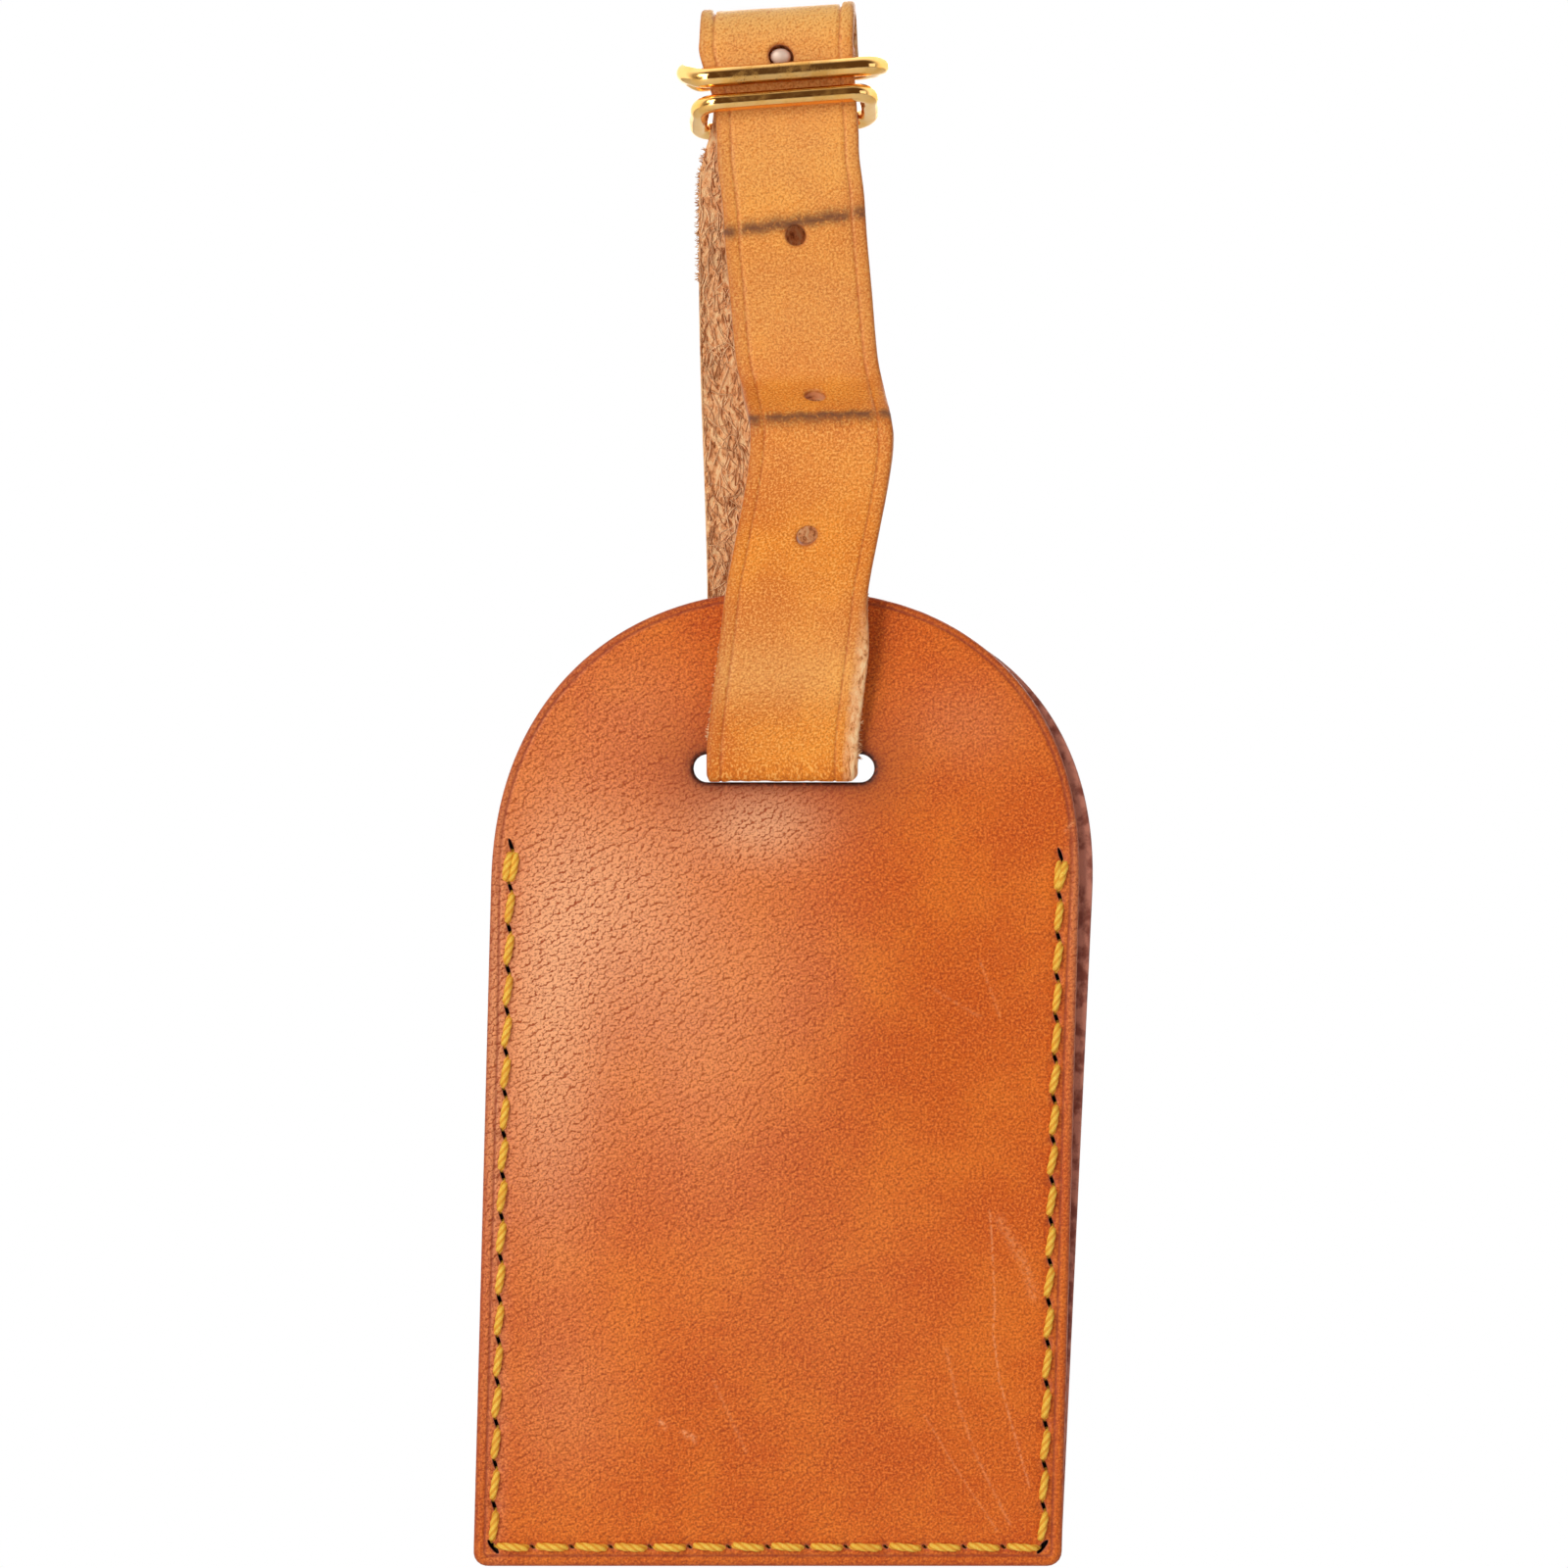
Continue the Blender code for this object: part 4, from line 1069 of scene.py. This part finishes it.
def tube(path, radius, sides, closed=False, lobes=0, twist=1.0, lobe_depth=0.0):
    """A tube along the path. With lobes it is a twisted cord, and the third result is its grooves."""
    path = np.asarray(path, float)
    first, second = frames_along(path, closed)
    along = np.concatenate([[0.0], np.cumsum(np.linalg.norm(np.diff(path, axis=0), axis=1))])
    radius = np.broadcast_to(np.asarray(radius, float), len(path))
    turn = np.linspace(0.0, 2 * math.pi, sides, endpoint=False)
    groove = np.cos(lobes * (turn[None, :] - 2 * math.pi * along[:, None] / twist)) if lobes else 0.0 * turn
    groove = np.broadcast_to(groove, (len(path), sides))
    grown = radius[:, None] * (1.0 + lobe_depth * (np.abs(groove) ** 0.7 * np.sign(groove) - 0.3))
    verts = path[:, None, :] + grown[..., None] * (
        np.cos(turn)[None, :, None] * first[:, None, :] + np.sin(turn)[None, :, None] * second[:, None, :]
    )
    verts = verts.reshape(-1, 3)
    faces = []
    for row in range(len(path) if closed else len(path) - 1):
        here, ahead = row * sides, (row + 1) % len(path) * sides
        for side in range(sides):
            after = (side + 1) % sides
            faces.append((here + side, here + after, ahead + after, ahead + side))
    if not closed:
        faces.append(tuple(range(sides))[::-1])
        faces.append(tuple((len(path) - 1) * sides + side for side in range(sides)))
    return verts.reshape(-1, 3), faces, groove.ravel()


def joined(pieces):
    """Several (verts, faces, values) as one."""
    verts, faces, values, first = [], [], [], 0
    for part_verts, part_faces, part_values in pieces:
        verts.append(part_verts)
        faces += [tuple(v + first for v in face) for face in part_faces]
        values.append(part_values)
        first += len(part_verts)
    return np.vstack(verts), faces, np.concatenate(values)


def turned(profile, sides, y, z):
    """A closed shape turned about the Y axis from (radius, height) points; height runs towards -Y."""
    verts, faces = [], []
    rings = []
    for radius, height in profile:
        if radius == 0.0:
            rings.append([len(verts)])
            verts.append((0.0, y - height, z))
            continue
        rings.append(list(range(len(verts), len(verts) + sides)))
        for side in range(sides):
            angle = 2 * math.pi * side / sides
            verts.append((radius * math.cos(angle), y - height, z + radius * math.sin(angle)))
    for low, high in zip(rings, rings[1:]):
        for side in range(sides):
            after = (side + 1) % sides
            if len(low) == 1:
                faces.append((low[0], high[after], high[side]))
            elif len(high) == 1:
                faces.append((low[side], low[after], high[0]))
            else:
                faces.append((low[side], low[after], high[after], high[side]))
    return np.array(verts), faces


# ---------------------------------------------------------------- loose fibres of the strap


def fibre_material():
    n = Nodes(bpy.data.materials.new("strap_loose_fibre"))
    place = n.object_place()
    uneven = n.spread(n.noise(place, 900.0, 3.0), 0.3, 0.7, -0.2, 0.2)
    tone = n.plus(n.attribute("tone"), uneven, clamp=True)
    colour = n.mix(tone, srgb(180, 112, 66), srgb(255, 210, 160))
    return n.finish(colour, 0.8, Specular_IOR_Level=0.2)


def fibre(across, along, depth, heading, length, thick, least=-STRAP_HALF - 0.5):
    """One curled fibre, lying on the strap at a depth under its grain face, as (verts, faces, tone)."""
    share = np.linspace(0.0, 1.0, 7)
    turn = heading + rng.uniform(-1.3, 1.3) * share
    steps = np.column_stack([np.cos(turn), np.sin(turn)]) * length / 6
    flat = np.array((across, along)) + np.cumsum(steps, axis=0)
    flat[:, 0] = np.maximum(flat[:, 0], least)
    lift = rng.uniform(-0.05, 0.22) * np.sin(math.pi * share)
    verts, faces, _ = tube(strap_place(flat, depth + lift), thick * (1.05 - share**2), 4)
    return verts, faces, np.full(len(verts), rng.uniform(0.0, 1.0))


def build_fibres():
    """Strands matted on the rough side of the back run, and fray along the strap's cut edges."""
    pieces = []
    for _ in range(620):
        along = rng.uniform(along_back(8.0), along_back(-52.0))
        across = STRAP_HALF * rng.uniform(-0.98, -0.35)
        heading = rng.choice((-1.0, 1.0)) * (math.pi / 2 + rng.normal(0.0, 0.45))
        depth = STRAP_THICK + rng.uniform(0.0, 0.16)
        thick = rng.uniform(0.05, 0.1)
        pieces.append(fibre(across, along, depth, heading, rng.uniform(1.4, 3.4), thick, 0.15 - STRAP_HALF))
    for side, from_z, to_z, count, reach in ((1.0, -62.0, -42.0, 300, 0.95), (-1.0, -60.0, -44.0, 90, 0.5)):
        for _ in range(count):
            share = rng.uniform(0.0, 1.0) ** 1.4
            along = along_front(from_z + 2.0) + share * (along_front(to_z) - along_front(from_z + 2.0))
            heading = (0.0 if side > 0 else math.pi) + rng.normal(0.0, 0.7)
            length = reach * rng.uniform(0.4, 1.0) * (1.0 - 0.6 * share)
            depth = STRAP_THICK * rng.uniform(0.1, 0.95)
            edge = STRAP_HALF + 0.8 * (1.0 - share) if side > 0 else STRAP_HALF
            pieces.append(fibre(side * (edge - 0.12), along, depth, heading, length, rng.uniform(0.04, 0.08)))
    for _ in range(160):
        along = rng.uniform(along_back(9.0), along_back(-6.0))
        heading = math.pi + rng.normal(0.0, 0.8)
        depth = STRAP_THICK * rng.uniform(0.3, 1.0)
        pieces.append(fibre(0.12 - STRAP_HALF, along, depth, heading, rng.uniform(0.3, 0.7), 0.06))
    verts, faces, tone = joined(pieces)
    strands = make_object("strap_loose_fibres", verts, faces, fibre_material(), {"tone": tone})
    hand_over(strands, None, "strap_loop")


build_fibres()


# ---------------------------------------------------------------- seam threads


def thread_material():
    n = Nodes(bpy.data.materials.new("waxed_thread_fibres"))
    place = n.object_place()
    groove = n.spread(n.attribute("groove"), -0.9, 0.3)
    fibre = n.spread(n.noise(place, 9000.0, 3.0), 0.35, 0.65)
    colour = n.mix(fibre, srgb(248, 182, 44), srgb(255, 216, 96))
    # Painted shade in the grooves between the twisted strands.
    colour = n.mix(groove, srgb(234, 156, 36), colour)
    soiled = n.spread(n.noise(place, 380.0, 2.0), 0.5, 0.75, 0.0, 0.4)
    colour = n.mix(soiled, colour, srgb(222, 138, 34))
    normal = n.bump(n.plus(fibre, n.times(groove, 0.5)), 0.00004, 0.7)
    return n.finish(colour, 0.6, normal, Specular_IOR_Level=0.35)


def stitch_line(start, end, side, lean, shift, dive, fans):
    """One stitch from hole to hole: up out of the first, over the leather, down into the second.

    It goes under the surface the dive length from each hole. A shift moves it aside: a fanning one spreads
    steadily to its end, and any other is widest in the middle.
    """
    run = end - start
    length = np.linalg.norm(run)
    run = run / length
    across = np.array((-run[1], run[0]))
    first_half = (
        (dive - 0.55, -1.2, 0.9),
        (dive - 0.25, -0.9, 1.0),
        (dive, -0.3, 1.0),
        (dive + 0.3, 0.14, 0.85),
        (length * 0.38, 0.27, 0.4),
    )
    second_half = [(length - along, height, -sway) for along, height, sway in reversed(first_half)]
    rows = []
    for along, height, sway in (*first_half, *second_half):
        share = along / length
        apart = shift * (1.1 * share if fans else 0.3 + 0.7 * math.sin(math.pi * share))
        x, z = start + run * along + across * (lean * sway + apart)
        swell = pillow_of(np.array([x]), np.array([z]), side)[0]
        rows.append((x, side * (BODY_FACE + height + swell), z))
    rows = np.array(rows)
    steps = np.concatenate([[0.0], np.cumsum(np.linalg.norm(np.diff(rows, axis=0), axis=1))])
    dense = np.linspace(0.0, steps[-1], int(steps[-1] / 0.02))
    smooth = np.column_stack([np.interp(dense, steps, rows[:, k]) for k in range(3)])
    kernel = np.hanning(27)
    kernel /= kernel.sum()
    padded = np.vstack([np.repeat(smooth[:1], 13, 0), smooth, np.repeat(smooth[-1:], 13, 0)])
    smooth = np.column_stack([np.convolve(padded[:, k], kernel, "valid") for k in range(3)])
    return smooth[::6]


def build_thread(name, side, material):
    left, bottom, right = seam_holes()
    holes = np.vstack([left, bottom, right])
    pieces = []
    last = len(holes) - 2
    for number, (start, end) in enumerate(zip(holes, holes[1:])):
        on_side = abs(end[1] - start[1]) > abs(end[0] - start[0])
        lean = (0.2 if on_side else 0.1) + rng.uniform(-0.05, 0.05)
        dive = 0.95 if on_side else 0.7
        shifts = (-0.42, 0.42) if number in (0, last) else (rng.uniform(-0.05, 0.05),)
        for shift in shifts:
            path = stitch_line(start, end, side, lean, shift, dive=dive, fans=number == last)
            share = np.linspace(0.0, 1.0, len(path))
            radius = (0.44 + rng.uniform(-0.02, 0.02)) * (0.55 + 0.45 * np.sin(math.pi * share) ** 0.6)
            twist = 3.4 + rng.uniform(-0.3, 0.3)
            pieces.append(tube(path, radius, 16, lobes=3, twist=twist, lobe_depth=0.06))
    verts, faces, groove = joined(pieces)
    stitches = make_object(name, verts, faces, material, {"groove": groove})
    hand_over(stitches, name.replace("_stitches", ""), "tag_body")


thread = thread_material()
build_thread("seam_thread_front_stitches", -1.0, thread)
build_thread("seam_thread_back_stitches", 1.0, thread)


# ---------------------------------------------------------------- brass


def brass_material():
    n = Nodes(bpy.data.materials.new("polished_brass_tarnish_and_painted_reflection"))
    place = n.object_place()
    streak = n.noise(n.scaled(place, (1.0, 6.0, 6.0)), 1800.0, 4.0, 0.7)
    cloud = n.spread(n.noise(place, 500.0, 3.0), 0.35, 0.7)
    colour = n.mix(cloud, srgb(255, 206, 130), srgb(250, 190, 100))
    speck = n.spread(n.noise(place, 4200.0, 4.0, 0.7), 0.56, 0.72)
    patina_and_dark_reflection = n.times(n.attribute("patina_and_dark_reflection"), n.plus(n.times(speck, 0.7), 0.3))
    # Painted dark reflection with some tarnish: dark brown specks where the mask is set.
    colour = n.mix(patina_and_dark_reflection, colour, srgb(112, 66, 30))
    pale = n.attribute("pale")
    # Painted glint: the prong's end turned pale pinkish white and less metallic.
    colour = n.mix(pale, colour, srgb(240, 216, 198))
    n.put(n.shader.inputs["Metallic"], n.math("SUBTRACT", 1.0, n.times(pale, 0.8)))
    rough = n.spread(n.plus(n.times(streak, 0.5), n.times(cloud, 0.5)), 0.3, 0.7, 0.1, 0.24)
    rough = n.plus(rough, n.times(patina_and_dark_reflection, 0.25))
    rough = n.plus(rough, n.times(pale, 0.3))
    return n.finish(colour, rough, n.bump(streak, 0.000006, 0.5))


def add_brass(node, body, verts, faces, patina_and_dark_reflection, **values):
    piece = make_object(node + "_bright", verts, faces, brass, {"patina_and_dark_reflection": patina_and_dark_reflection, **values})
    hand_over(piece, node, body)


def rolled(pivot):
    """Turns a ring or prong about its pivot bar, in line with the buckle's lean."""
    return Matrix.Translation((0.0, *pivot)) @ Matrix.Rotation(math.radians(-RING_ROLL), 4, "Y")


def build_ring(node, body, half_width, front_bar, back_bar, wire, pivot, dark_middle, shift, skew, lift, pinch):
    """A wire ring through two bars, a little uneven from use.

    Its dark_middle gives the half length and the strength of a dark patch on the front bar's face: a painted
    dark reflection with some tarnish. The shift moves the front bar sideways, the skew the back bar, the lift
    raises the back left corner and the pinch draws in the middle of the sides.
    """
    front, back = np.array(front_bar), np.array(back_bar)
    middle, depth = (front + back) / 2, back - front
    half_depth = np.linalg.norm(depth) / 2
    direction = depth / np.linalg.norm(depth)
    corner = RING_CORNER + 0.2
    outline = resample(rounded_rectangle(half_width, half_depth, corner, 16), 0.16, True)
    matrix = rolled(pivot)
    path, at_sides = [], []
    for x, offset in outline:
        y, z = middle + direction * offset - np.array(pivot)
        back_share = (offset + half_depth) / (2 * half_depth)
        at_sides.append(ridge(back_share - 0.3, 0.22))
        at_left = smooth_step(-x, half_width - RING_CORNER, half_width)
        raised = lift * math.sin(math.pi * min(back_share, 0.5)) * at_left
        drawn_in = pinch * at_sides[-1] * math.copysign(1.0, x)
        moved = x - drawn_in + shift + (skew - shift) * back_share
        path.append(tuple(matrix @ Vector((moved, y, z + raised))))
    wobble = 1.0 + 0.012 * np.sin(np.arange(len(path)) / 19.0) + 0.008 * np.sin(np.arange(len(path)) / 7.3)
    verts, faces, _ = tube(path, wire * (wobble + 0.3 * pinch * np.array(at_sides)), 32, closed=True)
    # Painted dark reflection, with some tarnish, on the middle of the front bar's face.
    nearness = np.clip(1.0 - np.abs(verts[:, 0] + 0.3) / dark_middle[0], 0.0, 1.0)
    patina_and_dark_reflection = dark_middle[1] * smooth_step(nearness, 0.0, 0.35) * (verts[:, 1] < front[0] + wire)
    add_brass(node, body, verts, faces, patina_and_dark_reflection)


def build_prong():
    """A rod wound round the heel bar, with a flattened end in the strap's top hole that carries a painted
    glint.
    """
    sides, wound = 24, 280.0
    radius = FRAME_WIRE + 0.2 + PRONG_RADIUS
    tip = np.array(PRONG_TIP) - np.array(HEEL_BAR)
    reach = np.linalg.norm(tip)
    leave = math.degrees(math.atan2(tip[1], tip[0]) - math.acos(radius / reach))
    places = [tip]
    for step in range(61):
        angle = math.radians(leave - wound * step / 60)
        places.append(radius * np.array((math.cos(angle), math.sin(angle))))
    matrix = rolled(HEEL_BAR)
    line = resample(np.array([(0.0, *place) for place in places]), 0.1, False)
    path = np.array([tuple(matrix @ Vector(place)) for place in line])
    along = np.linspace(0.0, 1.0, len(path)) * len(path) * 0.1
    end = 1 - smooth_step(along, 1.3, 2.8)
    path += end[:, None] * (-0.27, 0.0, 0.1)
    round_end = np.minimum(along, along[-1] - along) / PRONG_RADIUS
    thick = PRONG_RADIUS * np.sqrt(np.clip(1.0 - (1.0 - np.clip(round_end, 0.03, 1.0)) ** 2, 0.02, 1.0))
    verts, faces, _ = tube(path, thick, sides)
    middles = np.repeat(path, sides, axis=0)
    pale = np.repeat(end, sides)
    verts = middles + (verts - middles) * (1.0 + pale[:, None] * (0.8, 0.0, 0.4))
    add_brass("buckle_prong", "prong", verts, faces, np.zeros(len(verts)), pale=pale)


def build_rivet():
    front_face = -STRAP_THICK / 2
    back_face = RIVET_RUN_Y + STRAP_THICK / 2
    head, stem = RIVET_HEAD, RIVET_STEM
    length = back_face - front_face + 2 * RIVET_GAP + 0.5
    quarter = [math.radians(angle) for angle in range(0, 91, 10)]
    dome = [(head * math.sin(angle), 0.3 + 0.3 * math.cos(angle)) for angle in quarter]
    post = [*dome, (head, 0.1), (head - 0.1, 0.0), (stem, 0.0), (stem, -length), (0.0, -length)]
    cap = [(0.0, -0.7), (stem + 0.2, -0.7), (stem + 0.2, 0.0), (head - 0.1, 0.0), (head, -0.1)]
    for degrees in range(90, -1, -9):
        angle = math.radians(degrees)
        cap.append((head * math.sin(angle), -0.35 - 0.85 * math.cos(angle)))
    for node, profile, y, patina_and_dark_reflection in (("fold_rivet_post", post, front_face - RIVET_GAP, 0.3),
                                     ("fold_rivet_cap", cap, back_face + RIVET_GAP, 0.2)):
        verts, faces = turned(profile, 48, y, RIVET_Z)
        add_brass(node, "strap_loop", verts, faces, np.full(len(verts), patina_and_dark_reflection))


brass = brass_material()
build_ring("buckle_frame", "frame_ring", FRAME_HALF_WIDTH, FRAME_FRONT_BAR, HEEL_BAR, FRAME_WIRE, HEEL_BAR,
           dark_middle=(7.0, 0.95), shift=0.25, skew=-0.8, lift=0.9, pinch=-0.45)
build_ring("keeper_loop", "keeper", KEEPER_HALF_WIDTH, KEEPER_FRONT_BAR, KEEPER_BACK_BAR, KEEPER_WIRE,
           KEEPER_FRONT_BAR, dark_middle=(7.0, 0.3), shift=0.1, skew=-0.2, lift=0.0, pinch=0.15)
build_prong()
build_rivet()


# ---------------------------------------------------------------- card and window film


def card_material():
    n = Nodes(bpy.data.materials.new("card_paper_ruled"))
    sheet = n.attribute("sheet", "Vector")
    fibre = n.noise(sheet, 2500.0, 5.0)
    colour = n.mix(n.spread(fibre, 0.35, 0.7), srgb(242, 236, 222), srgb(250, 247, 238))
    age = n.spread(n.noise(sheet, 60.0, 3.0), 0.5, 0.8, 0.0, 0.4)
    colour = n.mix(age, colour, srgb(228, 212, 182))
    off_line = n.math("PINGPONG", n.node("ShaderNodeSeparateXYZ", "Y", {0: sheet}), RULE_GAP * MM / 2)
    rule = n.times(n.math("LESS_THAN", off_line, 0.12 * MM), n.spread(fibre, 0.3, 0.5, 0.4, 0.9))
    colour = n.mix(rule, colour, srgb(120, 118, 124))
    return n.finish(colour, 0.75, n.bump(fibre, 0.00002, 0.4))


def film_material():
    n = Nodes(bpy.data.materials.new("clear_film_scuffed"))
    sheet = n.attribute("sheet", "Vector")
    hair = n.noise(n.scaled(n.warped(sheet, 60.0, 0.004), (1.0, 0.12, 1.0)), 3000.0, 3.0)
    rough = n.spread(hair, 0.45, 0.75, 0.06, 0.35)
    normal = n.bump(n.noise(sheet, 90.0, 2.0), 0.0002, 0.3)
    return n.finish(srgb(250, 250, 248), rough, normal, Alpha=0.18, Specular_IOR_Level=0.7)


def build_insert(name, width, height, corner, gap, rows, face_y, thick, material):
    """A thin flat sheet behind the back ply's window, a little waved. It faces back."""
    middle_z = CARD_BOTTOM + CARD_HEIGHT / 2
    middle_x = body_middle(middle_z)
    shape = rounded_rectangle(width / 2, height / 2, corner, 6)
    sheet = Sheet([(x - middle_x, z + middle_z) for x, z in shape], gap, rows)

    def place(points, depth):
        x, z = -points[:, 0], points[:, 1]
        swell = 0.04 * (np.sin(x / 11.0) * np.sin(z / 19.0))
        return np.column_stack([x, face_y - depth + swell, z])

    grain_depth = np.zeros(len(sheet.points))
    return sheet.to_object(name, place, grain_depth, grain_depth + thick, {}, material)


card = build_insert("name_card_paper", CARD_WIDTH, CARD_HEIGHT, CARD_CORNER, 1.0, (0.1, 0.3),
                    PLY_GAP / 2 - LAYER_GAP / 2 + CARD_THICK, CARD_THICK, card_material())
hand_over(card, "name_card", "card")
film = build_insert("window_film_clear", FILM_WIDTH, FILM_HEIGHT, 1.0, 1.5, (0.1, 0.4),
                    PLY_GAP / 2 + POCKET_DEPTH - LAYER_GAP, FILM_THICK, film_material())
hand_over(film, "window_film", "tag_body")
